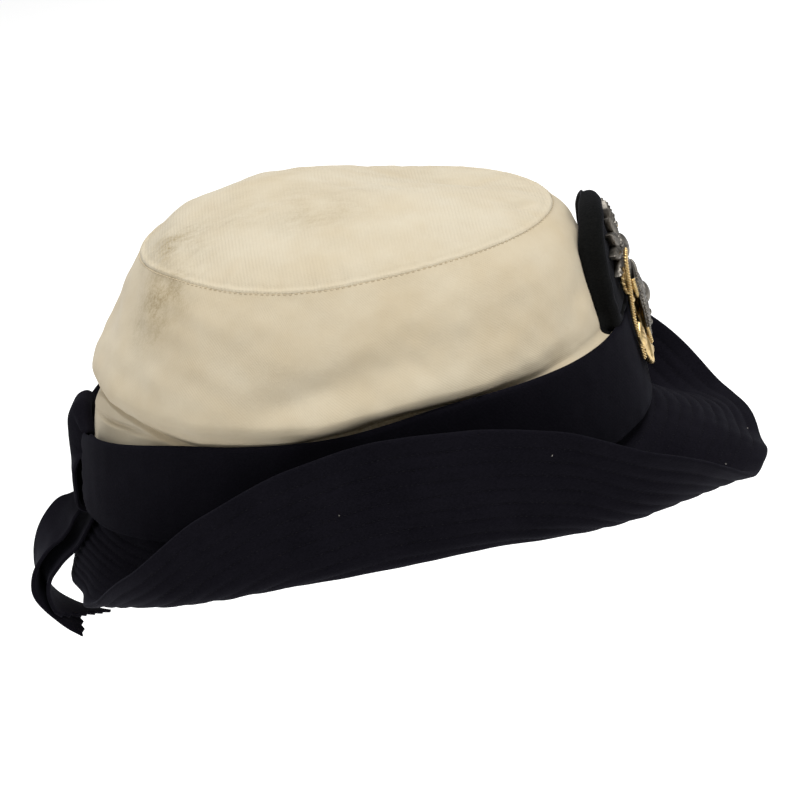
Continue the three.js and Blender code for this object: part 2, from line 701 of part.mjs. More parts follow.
function crestGeometry() {
  const right = SHIELD_OUTLINE.map(({ up, half }) => new THREE.Vector2(half, up));
  const left = SHIELD_OUTLINE.map(({ up, half }) => new THREE.Vector2(-half, up)).reverse();
  const shield = capped(
    SHIELD_DOME.map(({ scale, out }) =>
      [...right, ...left].map(({ x, y }) =>
        point(x * scale, SHIELD_MIDDLE + (y - SHIELD_MIDDLE) * scale, out),
      ),
    ),
  );
  const leaves = [-1, 1].flatMap((side) =>
    LEAVES.map(({ turn, from, long }) => {
      const leaf = new THREE.SphereGeometry(1, 6, 5);
      leaf.scale(long / 2 + LEAF.overlap, LEAF.wide, LEAF.thick);
      leaf.translate(from + long / 2, 0, LEAF.out);
      leaf.rotateZ(rad(turn));
      leaf.scale(side, 1, 1);
      leaf.translate(0, LEAF.root, 0);
      return facingOut(mergeVertices(bare(leaf)));
    }),
  );
  const knob = new THREE.SphereGeometry(KNOB.radius, 8, 6);
  knob.scale(1, 1, KNOB.flat).translate(0, LEAF.root, KNOB.out);
  const line = new THREE.LineCurve3(point(0, NECK.low, NECK.lowOut), point(0, LEAF.root, NECK.highOut));
  const neck = bar(line, NECK.radius, 4);
  return bent(join([shield, knob, neck, ...leaves]));
}

// Hat
const group = new THREE.Group();

function add(name, geometry, color, roughness, metalness = 0) {
  const mesh = new THREE.Mesh(geometry, new THREE.MeshStandardMaterial({ color, roughness, metalness }));
  mesh.name = name;
  group.add(mesh);
}

add("brim", brimGeometry(), 0x14151f, 0.95);
add("cover_side", coverSideGeometry(), 0xd8c9a4, 0.9);
add("cover_top", coverTopGeometry(), 0xdccfac, 0.9);
add("hat_band", bandGeometry(), 0x14151f, 0.95);
add("bow_loop", loopGeometry(), 0x14151f, 0.95);
add("bow_tail_outer", tailGeometry(TAIL_OUTER, TAIL_SLANT.outer), 0x14151f, 0.95);
add("bow_tail_inner", tailGeometry(TAIL_INNER, TAIL_SLANT.inner), 0x14151f, 0.95);
add("badge_pad", padGeometry(), 0x0d0d10, 0.9);
add("badge_anchors", anchorsGeometry(), 0xc9a24a, 0.35, 1);
add("badge_crest", crestGeometry(), 0xa9a9a6, 0.35, 1);

export default group;
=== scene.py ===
"""A women's naval officer's hat, dressed: aged cotton cover, stitched wool brim, band with a loop and pinked
tails, and a gilt and silvered device on a padded backing. Tables are in millimetres and degrees, in the part's own
frame: +X is the front, +Z is up, and angles are counted from the front."""

import math

import bpy
import numpy as np
from mathutils import Matrix


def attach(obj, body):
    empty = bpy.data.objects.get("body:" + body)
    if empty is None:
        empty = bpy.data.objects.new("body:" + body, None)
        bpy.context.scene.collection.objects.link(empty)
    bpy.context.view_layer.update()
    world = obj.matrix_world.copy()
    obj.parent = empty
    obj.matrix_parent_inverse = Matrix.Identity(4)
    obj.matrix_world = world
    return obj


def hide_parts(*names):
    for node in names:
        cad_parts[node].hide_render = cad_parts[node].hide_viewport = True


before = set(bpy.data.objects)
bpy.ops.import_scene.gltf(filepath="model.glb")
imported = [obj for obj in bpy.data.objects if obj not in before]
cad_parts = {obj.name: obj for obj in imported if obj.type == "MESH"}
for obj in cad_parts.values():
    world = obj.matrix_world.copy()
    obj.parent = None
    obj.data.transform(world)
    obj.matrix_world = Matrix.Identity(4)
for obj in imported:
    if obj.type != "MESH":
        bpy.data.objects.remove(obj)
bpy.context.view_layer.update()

MM = 0.001
TAU = 2 * math.pi
FLAT = np.array([1, 1, 0])  # leaves heights out
scene = bpy.context.scene


def show(name, data):
    obj = bpy.data.objects.new(name, data)
    scene.collection.objects.link(obj)
    return obj


# Camera

CAMERA_PLACE = (0.0408, -0.9319, 0.3911)
CAMERA_RIGHT = (0.98027, -0.04370, -0.19277)
CAMERA_UP = (0.19500, 0.37345, 0.90692)
CAMERA_BACK = (0.03236, -0.92662, 0.37461)
CAMERA_LENS, CAMERA_SENSOR = 118.1, 36

camera = show("camera", bpy.data.cameras.new("camera"))
camera.data.lens = CAMERA_LENS
camera.data.sensor_width = CAMERA_SENSOR
camera.matrix_world = Matrix([*zip(CAMERA_RIGHT, CAMERA_UP, CAMERA_BACK, CAMERA_PLACE), (0, 0, 0, 1)])
scene.camera = camera


# Numbers

def smoothstep(x, low, high):
    t = np.clip((np.asarray(x, float) - low) / (high - low), 0, 1)
    return t * t * (3 - 2 * t)


def hump(x, wide):
    """1 at 0, falling away smoothly on both sides."""
    return np.exp(-((x / wide) ** 2))


def table(columns, *rows):
    """Rows of numbers as a dict of named columns."""
    return {name: np.array([row[i] for row in rows], float) for i, name in enumerate(columns.split())}


def rows_of(columns):
    """The rows of a table, each as a dict."""
    return [dict(zip(columns, row)) for row in zip(*columns.values())]


def column_at(rows, key, column, at):
    """A column of a table at given places, smooth and never past the rows on either side."""
    x, y = rows[key], rows[column]
    slope = np.diff(y) / np.diff(x)
    before, after = slope[:-1], slope[1:]
    tangent = np.zeros_like(y)
    same = before * after > 0
    tangent[1:-1][same] = 2 * before[same] * after[same] / (before[same] + after[same])
    at = np.clip(at, x[0], x[-1])
    k = np.clip(np.searchsorted(x, at, side="right") - 1, 0, len(x) - 2)
    span = x[k + 1] - x[k]
    t = (at - x[k]) / span
    return (
        (2 * t**3 - 3 * t**2 + 1) * y[k]
        + (t**3 - 2 * t**2 + t) * span * tangent[k]
        + (3 * t**2 - 2 * t**3) * y[k + 1]
        + (t**3 - t**2) * span * tangent[k + 1]
    )


def ripple(points, size, seed, count=14):
    """Smooth even unevenness of about -1 to 1 at points, with swells of about the given size."""
    draw = np.random.default_rng(seed)
    total = np.zeros(points.shape[:-1])
    for _ in range(count):
        direction = draw.normal(size=3)
        direction *= TAU / size * draw.uniform(0.6, 1.5) / np.linalg.norm(direction)
        total += np.sin(points @ direction + draw.uniform(0, TAU))
    return total / math.sqrt(count / 2)


# Unevenness of each surface: how high, how far apart its swells are, and its seed
UNEVEN = {
    "brim_broad": (0.3, 70, 3), "brim_fine": (0.07, 13, 4), "side_broad": (0.35, 34, 11), "side_fine": (0.1, 12, 12),
    "top_broad": (0.28, 30, 21), "top_fine": (0.1, 11, 22), "band_broad": (0.11, 45, 31), "band_fine": (0.05, 9, 32),
    "band_edge": (0.3, 60, 33), "loop": (0.1, 16, 41), "tail_outer": (0.12, 14, 51), "tail_inner": (0.12, 14, 52),
    "pad": (0.12, 11, 71), "shield": (0.2, 2.2, 72), "neck": (0.22, 2.0, 73),
    "seam_soil": (0.4, 20, 80), "seam_wash": (0.5, 26, 81),
}


def uneven(points, name):
    high, size, seed = UNEVEN[name]
    return high * ripple(points, size, seed)


def unit(v):
    return v / np.maximum(np.linalg.norm(v, axis=-1, keepdims=True), 1e-12)


def zigzag(x):
    """Teeth from 0 to 1 and back over each whole number."""
    return 1 - np.abs(2 * (x % 1) - 1)


def run_length(points):
    """The length along a line up to each of its points."""
    return np.concatenate([[0], np.cumsum(np.linalg.norm(np.diff(points[:, :3], axis=0), axis=1))])


def sampled(at, length, values):
    """Rows of values that are given at lengths along a line, at other lengths."""
    return np.stack([np.interp(at, length, values[:, c]) for c in range(values.shape[1])], -1)


def tangents(line, closed):
    return unit(np.roll(line, -1, 0) - np.roll(line, 1, 0)) if closed else unit(np.gradient(line, axis=0))


def full_turn(count):
    """Even angles all the way round."""
    return np.arange(count) * TAU / count


def circles(a, b, sides):
    """Directions all the way round, from two directions at each point."""
    turn = full_turn(sides)
    return np.cos(turn)[None, :, None] * a[:, None] + np.sin(turn)[None, :, None] * b[:, None]


def pairs(a, b):
    """Two values at each point, spread over the whole grid."""
    return np.stack(np.broadcast_arrays(a, b), -1)


# Meshes

def grid_faces(n, m, closed_u, closed_v):
    i = np.arange(n if closed_u else n - 1)[:, None]
    j = np.arange(m if closed_v else m - 1)[None, :]
    i1, j1 = (i + 1) % n, (j + 1) % m
    return np.stack([i * m + j, i1 * m + j, i1 * m + j1, i * m + j1], -1).reshape(-1, 4)


def fan(centre, ring):
    return np.stack([np.full(len(ring), centre), ring, np.roll(ring, -1)], -1)


def torus(points):
    """A body from a grid of points that closes on itself both ways."""
    return points, [grid_faces(*points.shape[:2], True, True)]


def capped_rings(rings):
    """A body from rings of points, closed round a middle point at each end."""
    n, m = rings.shape[:2]
    points = np.concatenate([rings.reshape(-1, 3), [rings[0].mean(0), rings[-1].mean(0)]])
    ring = np.arange(m)
    fans = [fan(n * m, ring)[:, [0, 2, 1]], fan(n * m + 1, (n - 1) * m + ring)]
    return points, [grid_faces(n, m, False, True)[:, ::-1], *fans]


def end_strip(m, base=0):
    """Faces that close a ring of two facing rows of points."""
    j = np.arange(m // 2 - 1)
    return base + np.stack([j, j + 1, m - 2 - j, m - 1 - j], -1)


def volume(points, faces):
    total = 0.0
    for k in range(1, faces.shape[1] - 1):
        a, b, c = points[faces[:, 0]], points[faces[:, k]], points[faces[:, k + 1]]
        total += np.einsum("ij,ij->i", a, np.cross(b, c)).sum()
    return total


def outward(points, groups):
    """The faces of one closed body, turned round if they enclose a negative volume."""
    if sum(volume(points, g) for g in groups) < 0:
        return [g[:, ::-1] for g in groups]
    return groups


def lay_cloth(mesh, cloth, around):
    """Gives each corner its place on the flat cloth, which repeats after the length around, if it does."""
    corner = np.zeros(len(mesh.loops), np.int32)
    mesh.loops.foreach_get("vertex_index", corner)
    place = cloth.reshape(-1, 2)[corner].copy()
    if around:
        first = np.zeros(len(mesh.polygons), np.int32)
        mesh.polygons.foreach_get("loop_start", first)
        low = np.minimum.reduceat(place[:, 0], first)
        high = np.maximum.reduceat(place[:, 0], first)
        sizes = np.diff(np.append(first, len(corner)))
        across = np.repeat(high - low > around / 2, sizes)
        place[across & (place[:, 0] < around / 2), 0] += around
    made = mesh.attributes.new("cloth", "FLOAT_VECTOR", "CORNER")
    made.data.foreach_set("vector", np.column_stack([place, np.zeros(len(place))]).astype(np.float32).ravel())


def piece(name, bodies, paint, stands_for=None, cloth=None, around=None, dirt_and_shade=None):
    """A shown piece from closed bodies, each (points in mm, groups of faces). cloth gives each point's place on the
    flat cloth, and the last argument how much soil and painted shade each point carries."""
    points, faces, base = [], [], 0
    for body_points, groups in bodies:
        flat = body_points.reshape(-1, 3)
        for group in outward(flat, groups):
            faces.extend((group + base).tolist())
        points.append(flat)
        base += len(flat)
    mesh = bpy.data.meshes.new(name)
    mesh.from_pydata((np.concatenate(points) * MM).tolist(), [], faces)
    mesh.polygons.foreach_set("use_smooth", np.ones(len(mesh.polygons), bool))
    if cloth is not None:
        lay_cloth(mesh, cloth, around)
    # Soil and painted shade of each point, read by the cotton's colour
    if dirt_and_shade is not None:
        made = mesh.attributes.new("dirt_and_shade", "FLOAT", "POINT")
        made.data.foreach_set("value", np.clip(dirt_and_shade, 0, 1).astype(np.float32).ravel())
    mesh.materials.append(paint)
    mesh.validate()
    obj = show(name, mesh)
    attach(obj, "root")
    if stands_for:
        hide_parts(stands_for)
    return obj


CURVE_STEPS = 40  # steps from each row of a curve to the next


def curve_points(rows, closed, count):
    """Even points along a smooth line through rows of points, as a centripetal spline, and its length."""
    p = np.asarray(rows, float)
    if closed:
        run = np.concatenate([p[-1:], p, p[:2]])
    else:
        run = np.concatenate([2 * p[:1] - p[1:2], p, 2 * p[-1:] - p[-2:-1]])
    t = np.linspace(0, 1, CURVE_STEPS, endpoint=False)[:, None]
    dense = []
    for k in range(len(run) - 3):
        p0, p1, p2, p3 = run[k : k + 4]
        d0, d1, d2 = (max(np.linalg.norm(b[:3] - a[:3]) ** 0.5, 1e-4) for a, b in ((p0, p1), (p1, p2), (p2, p3)))
        t1 = ((p1 - p0) / d0 - (p2 - p0) / (d0 + d1) + (p2 - p1) / d1) * d1
        t2 = ((p2 - p1) / d1 - (p3 - p1) / (d1 + d2) + (p3 - p2) / d2) * d1
        dense.append(p1 + t1 * t + (3 * p2 - 3 * p1 - 2 * t1 - t2) * t**2 + (2 * p1 - 2 * p2 + t1 + t2) * t**3)
    dense = np.concatenate(dense + [p[:1] if closed else p[-1:]])
    length = run_length(dense)
    return sampled(np.linspace(0, length[-1], count, endpoint=not closed), length, dense), length[-1]


DOMED = 0.6  # how far a bar's open ends stand out, as a share of its radius


def tube(path, radius, sides, closed=False):
    """A round bar along a path, its open ends domed."""
    path = np.asarray(path, float)
    tangent = tangents(path, closed)
    normal = np.zeros_like(path)
    start = np.array([0.0, 0.0, 1.0]) if abs(tangent[0][2]) < 0.9 else np.array([1.0, 0.0, 0.0])
    normal[0] = unit(start - tangent[0] * (start @ tangent[0]))
    for i in range(1, len(path)):
        normal[i] = unit(normal[i - 1] - tangent[i] * (normal[i - 1] @ tangent[i]))
    r = np.broadcast_to(np.asarray(radius, float), len(path))
    points = path[:, None] + r[:, None, None] * circles(normal, np.cross(tangent, normal), sides)
    if closed:
        return torus(points)
    tips = [path[0] - tangent[0] * r[0] * DOMED, path[-1] + tangent[-1] * r[-1] * DOMED]
    flat = np.concatenate([points.reshape(-1, 3), tips])
    quads = grid_faces(len(path), sides, False, True)
    count, ring = len(path) * sides, np.arange(sides)
    fans = [fan(count, ring)[:, [0, 2, 1]], fan(count + 1, count - sides + ring)]
    if volume(flat, quads) * volume(flat, fans[0]) < 0:
        fans = [f[:, ::-1] for f in fans]
    return flat, [quads, *fans]


# Materials

MIX_SHARE, MIX_A, MIX_B, MIX_RESULT = 0, 6, 7, 2  # sockets of a colour mix


def material(name):
    made = bpy.data.materials.new(name)
    made.use_nodes = True
    return made, made.node_tree, made.node_tree.nodes["Principled BSDF"]


def fill(tree, made, values):
    """Sets a node's sockets, or links them where the value is itself a socket."""
    for key, value in values.items():
        if isinstance(value, bpy.types.NodeSocket):
            tree.links.new(value, made.inputs[key])
        else:
            made.inputs[key].default_value = value


def node(tree, kind, values=None, **settings):
    made = tree.nodes.new(kind)
    for key, value in settings.items():
        setattr(made, key, value)
    fill(tree, made, values or {})
    return made


def attribute(tree, name, output):
    return node(tree, "ShaderNodeAttribute", attribute_name=name).outputs[output]


def object_place(tree):
    return node(tree, "ShaderNodeTexCoord").outputs["Object"]


def mapped(tree, place, turn, scale):
    return node(tree, "ShaderNodeMapping", {"Vector": place, "Rotation": turn, "Scale": scale}).outputs["Vector"]


def maths(tree, operation, a, b=0.0):
    return node(tree, "ShaderNodeMath", {0: a, 1: b}, operation=operation).outputs[0]


def times(tree, a, b):
    return maths(tree, "MULTIPLY", a, b)


def noise(tree, place, scale, detail=3.0, roughness=0.55):
    values = {"Vector": place, "Scale": scale, "Detail": detail, "Roughness": roughness}
    return node(tree, "ShaderNodeTexNoise", values).outputs["Fac"]


def spread(tree, value, low, high, to_low=0.0, to_high=1.0):
    values = {"Value": value, "From Min": low, "From Max": high, "To Min": to_low, "To Max": to_high}
    return node(tree, "ShaderNodeMapRange", values, clamp=True).outputs["Result"]


def mixed(tree, share, a, b):
    a, b = (v if isinstance(v, bpy.types.NodeSocket) else (*v, 1) for v in (a, b))
    return node(tree, "ShaderNodeMix", {MIX_SHARE: share, MIX_A: a, MIX_B: b}, data_type="RGBA").outputs[MIX_RESULT]


def bump(tree, height, strength, distance, onto=None):
    values = {"Height": height, "Strength": strength, "Distance": distance}
    if onto is not None:
        values["Normal"] = onto
    return node(tree, "ShaderNodeBump", values).outputs["Normal"]


def thread_wave(tree, cloth, along, across, pitch):
    """Waves over the flat cloth in one direction, from -1 to 1, a pitch in mm apart."""
    k = TAU / pitch / math.hypot(along, across)
    dot = node(tree, "ShaderNodeVectorMath", {0: cloth, 1: (along * k, across * k, 0)}, operation="DOT_PRODUCT")
    return maths(tree, "SINE", dot.outputs["Value"])


# The third of these colours is that of the stains and of the painted shade along the tuck's crease; the next line caps
# how dark both may go
COTTON_GRAIN, COTTON_LINES, COTTON_DIRT_AND_SHADE = (0.5, 0.42, 0.3), (0.33, 0.26, 0.16), (0.25, 0.182, 0.078)
MOST_DIRT_AND_SHADE = 0.85
WOOL_FLECK, WOOL_BLOOM = (0.03, 0.03, 0.036), (0.62, 0.64, 0.8, 1)


def cotton_material(name, ribs, pale, warm):
    """Aged cotton: twill lines, or ribs across the hat, with mottling, and the stains and painted crease shade marked
    on the mesh.
    """
    made, tree, shader = material(name)
    cloth, place = attribute(tree, "cloth", "Vector"), object_place(tree)
    if ribs:
        lines, cross = thread_wave(tree, cloth, 1.0, 0.03, 1.25), thread_wave(tree, cloth, 0.0, 1.0, 0.6)
    else:
        lines, cross = thread_wave(tree, cloth, 1.0, 0.8, 0.78), thread_wave(tree, cloth, 0.25, 1.0, 0.5)
    soft = noise(tree, place, 42.0, 4.0)
    grain = noise(tree, place, 900.0, 2.0)
    streaks = noise(tree, mapped(tree, place, (0, 0.5, 0.3), (0.55, 1.5, 1.2)), 230.0, 8.0, 0.75)
    patchy_marks = times(tree, streaks, spread(tree, noise(tree, place, 1300.0, 3.0), 0.3, 0.7, 0.75, 1.25))
    worn = spread(tree, noise(tree, place, 75.0, 3.0), 0.35, 0.65, 0.35, 1.0)
    colour = mixed(tree, spread(tree, soft, 0.35, 0.68), pale, warm)
    colour = mixed(tree, spread(tree, grain, 0.3, 0.75, 0.0, 0.16), colour, COTTON_GRAIN)
    shaded = spread(tree, lines, -1.0, 1.0, 0.07 if ribs else 0.04, 0.0)
    colour = mixed(tree, times(tree, shaded, worn), colour, COTTON_LINES)
    # Stains and painted crease shade, made patchy
    spotted = times(tree, attribute(tree, "dirt_and_shade", "Fac"), spread(tree, patchy_marks, 0.36, 0.68, 0.3, 1.15))
    weave = maths(tree, "ADD", times(tree, lines, worn), times(tree, cross, 0.45))
    fill(tree, shader, {
        "Base Color": mixed(tree, maths(tree, "MINIMUM", spotted, MOST_DIRT_AND_SHADE), colour, COTTON_DIRT_AND_SHADE),
        "Roughness": 0.86, "Sheen Weight": 0.12, "Sheen Roughness": 0.5, "Specular IOR Level": 0.2,
        "Normal": bump(tree, grain, 0.35, 0.00012, bump(tree, weave, 0.5 if ribs else 0.2, 0.00009)),
    })
    return made


def wool_material(name, dark, light, sheen, nap=1.0):
    """Milled wool: a felted surface over a faint weave, with a soft bloom where it is rubbed."""
    made, tree, shader = material(name)
    place = object_place(tree)
    felt = noise(tree, mapped(tree, place, (0, 0, 0), (1.0, 1.0, 2.4)), 1100.0, 3.0, 0.65)
    fibres = noise(tree, place, 2600.0, 2.0)
    weave = thread_wave(tree, attribute(tree, "cloth", "Vector"), 1.0, 1.0, 1.1)
    tone = maths(tree, "ADD", times(tree, felt, 0.75), times(tree, noise(tree, place, 55.0, 4.0), 0.35))
    colour = mixed(tree, spread(tree, tone, 0.38, 0.72), dark, light)
    normal = bump(tree, weave, 0.12 * nap, 0.0001, bump(tree, felt, 0.5 * nap, 0.00022))
    fill(tree, shader, {
        "Base Color": mixed(tree, times(tree, spread(tree, fibres, 0.7, 0.82), 0.3), colour, WOOL_FLECK),
        "Roughness": 0.95, "Specular IOR Level": 0.03,
        "Sheen Weight": sheen, "Sheen Roughness": 0.45, "Sheen Tint": WOOL_BLOOM,
        "Normal": bump(tree, fibres, 0.35 * nap, 0.00012, normal),
    })
    return made


def thread_material(name, colour, other):
    made, tree, shader = material(name)
    place = object_place(tree)
    fill(tree, shader, {
        "Base Color": mixed(tree, spread(tree, noise(tree, place, 700.0, 2.0), 0.35, 0.65), colour, other),
        "Roughness": 0.92, "Specular IOR Level": 0.08,
        "Normal": bump(tree, noise(tree, place, 3000.0, 1.0), 0.3, 0.0001),
    })
    return made


def metal_material(name, bright, dull, tarnish, rough):
    """Worn plated metal: bright where it is rubbed, dark in patches."""
    made, tree, shader = material(name)
    place = object_place(tree)
    rubbed = spread(tree, node(tree, "ShaderNodeNewGeometry").outputs["Pointiness"], 0.46, 0.55)
    patches = noise(tree, place, 260.0, 5.0, 0.6)
    fine = noise(tree, place, 1500.0, 3.0)
    colour = mixed(tree, spread(tree, patches, 0.35, 0.65), dull, bright)
    dark = times(tree, maths(tree, "SUBTRACT", 1.0, rubbed), spread(tree, fine, 0.3, 0.6, 0.35, 1.0))
    fill(tree, shader, {
        "Base Color": mixed(tree, times(tree, dark, 0.85), colour, tarnish),
        "Metallic": 1.0,
        "Roughness": spread(tree, patches, 0.3, 0.7, rough - 0.1, rough + 0.16),
        "Normal": bump(tree, fine, 0.35, 0.00018),
    })
    return made


# Lit and shaded copies of one cotton: the top's is a little paler, as painted light from above, and the side's a
# little darker and yellower, as painted shade
side_cotton = cotton_material("side_cotton", False, (0.585, 0.51, 0.375), (0.54, 0.452, 0.31))
top_cotton = cotton_material("top_cotton", True, (0.585, 0.525, 0.405), (0.545, 0.468, 0.335))
brim_wool = wool_material("brim_wool", (0.003, 0.0027, 0.0044), (0.007, 0.0063, 0.0095), 0.038)
band_wool = wool_material("band_wool", (0.0032, 0.0029, 0.0047), (0.0066, 0.006, 0.009), 0.032, 0.8)
pad_cloth = wool_material("pad_cloth", (0.0028, 0.0029, 0.0028), (0.0075, 0.0076, 0.007), 0.05, 1.3)
navy_thread = thread_material("navy_thread", (0.0045, 0.0042, 0.0056), (0.011, 0.0105, 0.013))
tan_thread = thread_material("tan_thread", (0.5, 0.41, 0.27), (0.56, 0.47, 0.33))
lint_fibre = thread_material("lint_fibre", (0.2, 0.19, 0.18), (0.32, 0.3, 0.27))
gilt = metal_material("gilt", (0.82, 0.63, 0.32), (0.66, 0.47, 0.21), (0.13, 0.08, 0.03), 0.36)
silvered = metal_material("silvered", (0.27, 0.25, 0.22), (0.14, 0.126, 0.108), (0.022, 0.019, 0.016), 0.4)


# Head opening and brim

HEAD_FRONT, HEAD_BACK, HEAD_SIDE = 97.5, 108.0, 78.0
WOOL, COTTON, RIBBON, GAP = 2.4, 1.5, 1.6, 0.4
COLLAR_HEIGHT = 8.0
BAND_TOP = 38.5
LOOP_WIDTH, TAIL_WIDTH = 25.0, 22.0

# Sections from the front round to the back: width along the cloth, the directions in which it leaves the collar and
# reaches its edge, 0 outwards and 90 up, and the shares of the width between which it bends
BRIM_SECTIONS = table(
    "angle width start end from to",
    (0, 48.5, -26, -42, 0.1, 0.9),
    (15, 47.2, -34.7, -12.4, 0.3, 1),
    (30, 53, -48.4, 29.4, 0.19, 0.87),
    (45, 59.4, -47, 68, 0.136, 0.776),
    (60, 65.4, -48, 86.8, 0.075, 0.568),
    (75, 63.2, -47.4, 90.5, 0.02, 0.455),
    (90, 63, -54, 93, 0.02, 0.396),
    (105, 60.2, -51, 93, 0.03, 0.456),
    (120, 55.1, -48, 91, 0.08, 0.63),
    (135, 43.4, -52, 65, 0.16, 0.86),
    (150, 34.6, -62, 14, 0.27, 0.92),
    (165, 28.4, -46, -61, 0.21, 0.91),
    (180, 32.6, -32, -69, 0.1, 0.74),
)
BRIM_TURN = 5.0  # length over which the collar turns out into the brim
BRIM_ANGLES, BRIM_STEPS = 420, 420
BRIM_ROUND = 760.0  # length round the brim on which its weave is laid
NOSE_TURNS = (-60, -30, 0, 30, 60)  # points round the edge
ROWS, ROW_MARGIN = 9, 0.6  # rows of stitching, counted from the edge, and the room past the last of them, in pitches
ROW_PITCH = 5.43
QUILT = 0.5  # how far each row draws the plies in
PUCKER = {"high": 0.05, "waves": 62, "sway": 5, "row": 2.3}
STITCH = {"pitch": 2.0, "long": 1.3, "radius": 0.16, "off": 0.2, "ahead": 0.6, "uneven": 0.12, "askew": 0.06}
STITCH_SIDES, STITCH_ANGLES = 5, 720
STITCH_RINGS = ((-0.3, 0.85), (0.0, 1.0), (0.3, 0.85))  # shares of a stitch's length and of its radius


def oval(theta, out, z):
    c = np.cos(theta)
    end = np.where(c > 0, HEAD_FRONT, HEAD_BACK)
    return np.stack(np.broadcast_arrays((end + out) * c, (HEAD_SIDE + out) * np.sin(theta), z), -1)


def row_pitch(width):
    """Distance from row to row of the stitching where the brim has a given width."""
    return np.minimum(ROW_PITCH, width / (ROWS + ROW_MARGIN))[:, None]


def brim_walk(theta):
    """For each angle, the line of the cloth from the collar's top to its edge: lengths, places outside the head
    opening, heights and directions."""
    at = np.degrees(np.arccos(np.cos(theta)))[:, None]
    width, start, end, low, high = (column_at(BRIM_SECTIONS, "angle", c, at) for c in BRIM_SECTIONS if c != "angle")
    s = np.linspace(0, 1, BRIM_STEPS)[None, :] * (COLLAR_HEIGHT + BRIM_TURN + width)
    past = s - COLLAR_HEIGHT
    share = (past - BRIM_TURN) / width
    curved = start + (end - start) * smoothstep((share - low) / (high - low), 0, 1)
    turning = -90 + (start + 90) * smoothstep(past / BRIM_TURN, 0, 1)
    heading = np.radians(np.where(past < 0, -90.0, np.where(past < BRIM_TURN, turning, curved)))
    step = np.diff(s, axis=1)
    middle = (heading[:, 1:] + heading[:, :-1]) / 2
    zero = np.zeros((len(theta), 1))
    out = WOOL / 2 + np.concatenate([zero, np.cumsum(step * np.cos(middle), 1)], 1)
    z = COLLAR_HEIGHT + np.concatenate([zero, np.cumsum(step * np.sin(middle), 1)], 1)
    return s, out, z, heading, width[:, 0]


def brim_surface(theta, from_edge, side):
    """Points, normals and directions of the brim's upper (1) or lower (-1) face, from_edge mm in from its edge."""
    s, *lines, width = brim_walk(theta)
    at = s[:, -1:] - from_edge
    out, z, heading = (np.stack([np.interp(a, x, y) for a, x, y in zip(at, s, line)]) for line in lines)
    theta = theta[:, None]
    level, rise = -np.sin(heading) * side, np.cos(heading) * side
    normal = np.stack([level * np.cos(theta), level * np.sin(theta), rise], -1)
    row = from_edge / row_pitch(width)
    quilted = smoothstep(row, 0.2, 0.6) * (1 - smoothstep(row, ROWS + 0.3, ROWS + 0.7))
    half = WOOL / 2 - QUILT * quilted * (1 - np.abs(np.sin(math.pi * row)))
    place = oval(theta, out + half * level, z + half * rise)
    middle = oval(theta, out, z)
    swell = uneven(middle, "brim_broad") * smoothstep(-from_edge, -46, -20) + uneven(middle, "brim_fine")
    waves = np.sin(TAU * theta * PUCKER["waves"] + PUCKER["sway"] * np.sin(row * PUCKER["row"]))
    return place + normal * (swell * side + PUCKER["high"] * quilted * waves)[..., None], normal, heading


def brim_stops(theta):
    """Distances from the edge that get a line of points, the same in number at every angle."""
    width = brim_walk(theta)[4]
    units = [0.0, 0.08, 0.2, 0.4, 0.6]
    for row in range(1, ROWS + 1):
        units += [row + step for step in (-0.2, -0.1, 0, 0.1, 0.2, 0.4, 0.6)]
    edge_part = np.array(units)[None, :] * row_pitch(width)
    last = edge_part[:, -1:]
    inner = np.maximum(last + 0.5, width[:, None])
    between = last + (inner - last) * np.linspace(0, 1, 9)[None, 1:]
    whole = (COLLAR_HEIGHT + BRIM_TURN + width)[:, None]
    return np.concatenate([edge_part, between, inner + (whole - inner) * np.linspace(0, 1, 12)[None, 1:]], 1)


brim_theta = full_turn(BRIM_ANGLES)
stops = brim_stops(brim_theta)
upper, _, heading = brim_surface(brim_theta, stops, 1)
lower, _, _ = brim_surface(brim_theta, stops, -1)
edge_middle, edge_half = (upper[:, 0] + lower[:, 0]) / 2, (upper[:, 0] - lower[:, 0]) / 2
tip = heading[:, 0]
outwards = np.stack([np.cos(tip) * np.cos(brim_theta), np.cos(tip) * np.sin(brim_theta), np.sin(tip)], -1)
outwards *= np.linalg.norm(edge_half, axis=1, keepdims=True)
nose = [edge_middle - edge_half * math.sin(a) + outwards * math.cos(a) for a in np.radians(NOSE_TURNS)]
brim_rings = np.concatenate([upper[:, ::-1], np.stack(nose, 1), lower], 1)
brim_across = np.concatenate([stops[:, ::-1], np.zeros((len(stops), len(nose))), stops], 1)
brim_cloth = pairs((brim_theta / TAU * BRIM_ROUND)[:, None], brim_across)
piece("brim_dressed", [torus(brim_rings)], brim_wool, "brim", brim_cloth, BRIM_ROUND)


def stitch_body(places, alongs, ups, long, radius):
    """Short stitches at places, each along its own direction, their tips in the cloth."""
    round_it = circles(ups, np.cross(alongs, ups), STITCH_SIDES)
    rings = [(places + alongs * share * long)[:, None] + radius * size * round_it for share, size in STITCH_RINGS]
    tips = [places + alongs * share * long - ups * radius for share in (-0.5, 0.5)]
    points = np.concatenate([np.stack(rings, 1).reshape(len(places), -1, 3), np.stack(tips, 1)], 1)
    count, ring = len(rings) * STITCH_SIDES, np.arange(STITCH_SIDES)
    quads = grid_faces(len(rings), STITCH_SIDES, False, True)
    fans = np.concatenate([fan(count, ring), fan(count + 1, count - STITCH_SIDES + ring)[:, [0, 2, 1]]])
    base = (np.arange(len(places)) * points.shape[1])[:, None, None]
    return points.reshape(-1, 3), [(faces[None] + base).reshape(-1, faces.shape[1]) for faces in (quads, fans)]


def round_length(line):
    return run_length(np.concatenate([line, line[:1]]))[-1]


def on_closed(line, normal, at, ahead):
    """Places, directions and normals at lengths along a closed line, its direction read a little ahead."""
    closed = np.concatenate([line, line[:1]])
    length = run_length(closed)
    spot = sampled(at, length, closed)
    way = unit(sampled(np.mod(at + ahead, length[-1]), length, closed) - spot)
    return spot, way, unit(sampled(at, length, np.concatenate([normal, normal[:1]])))


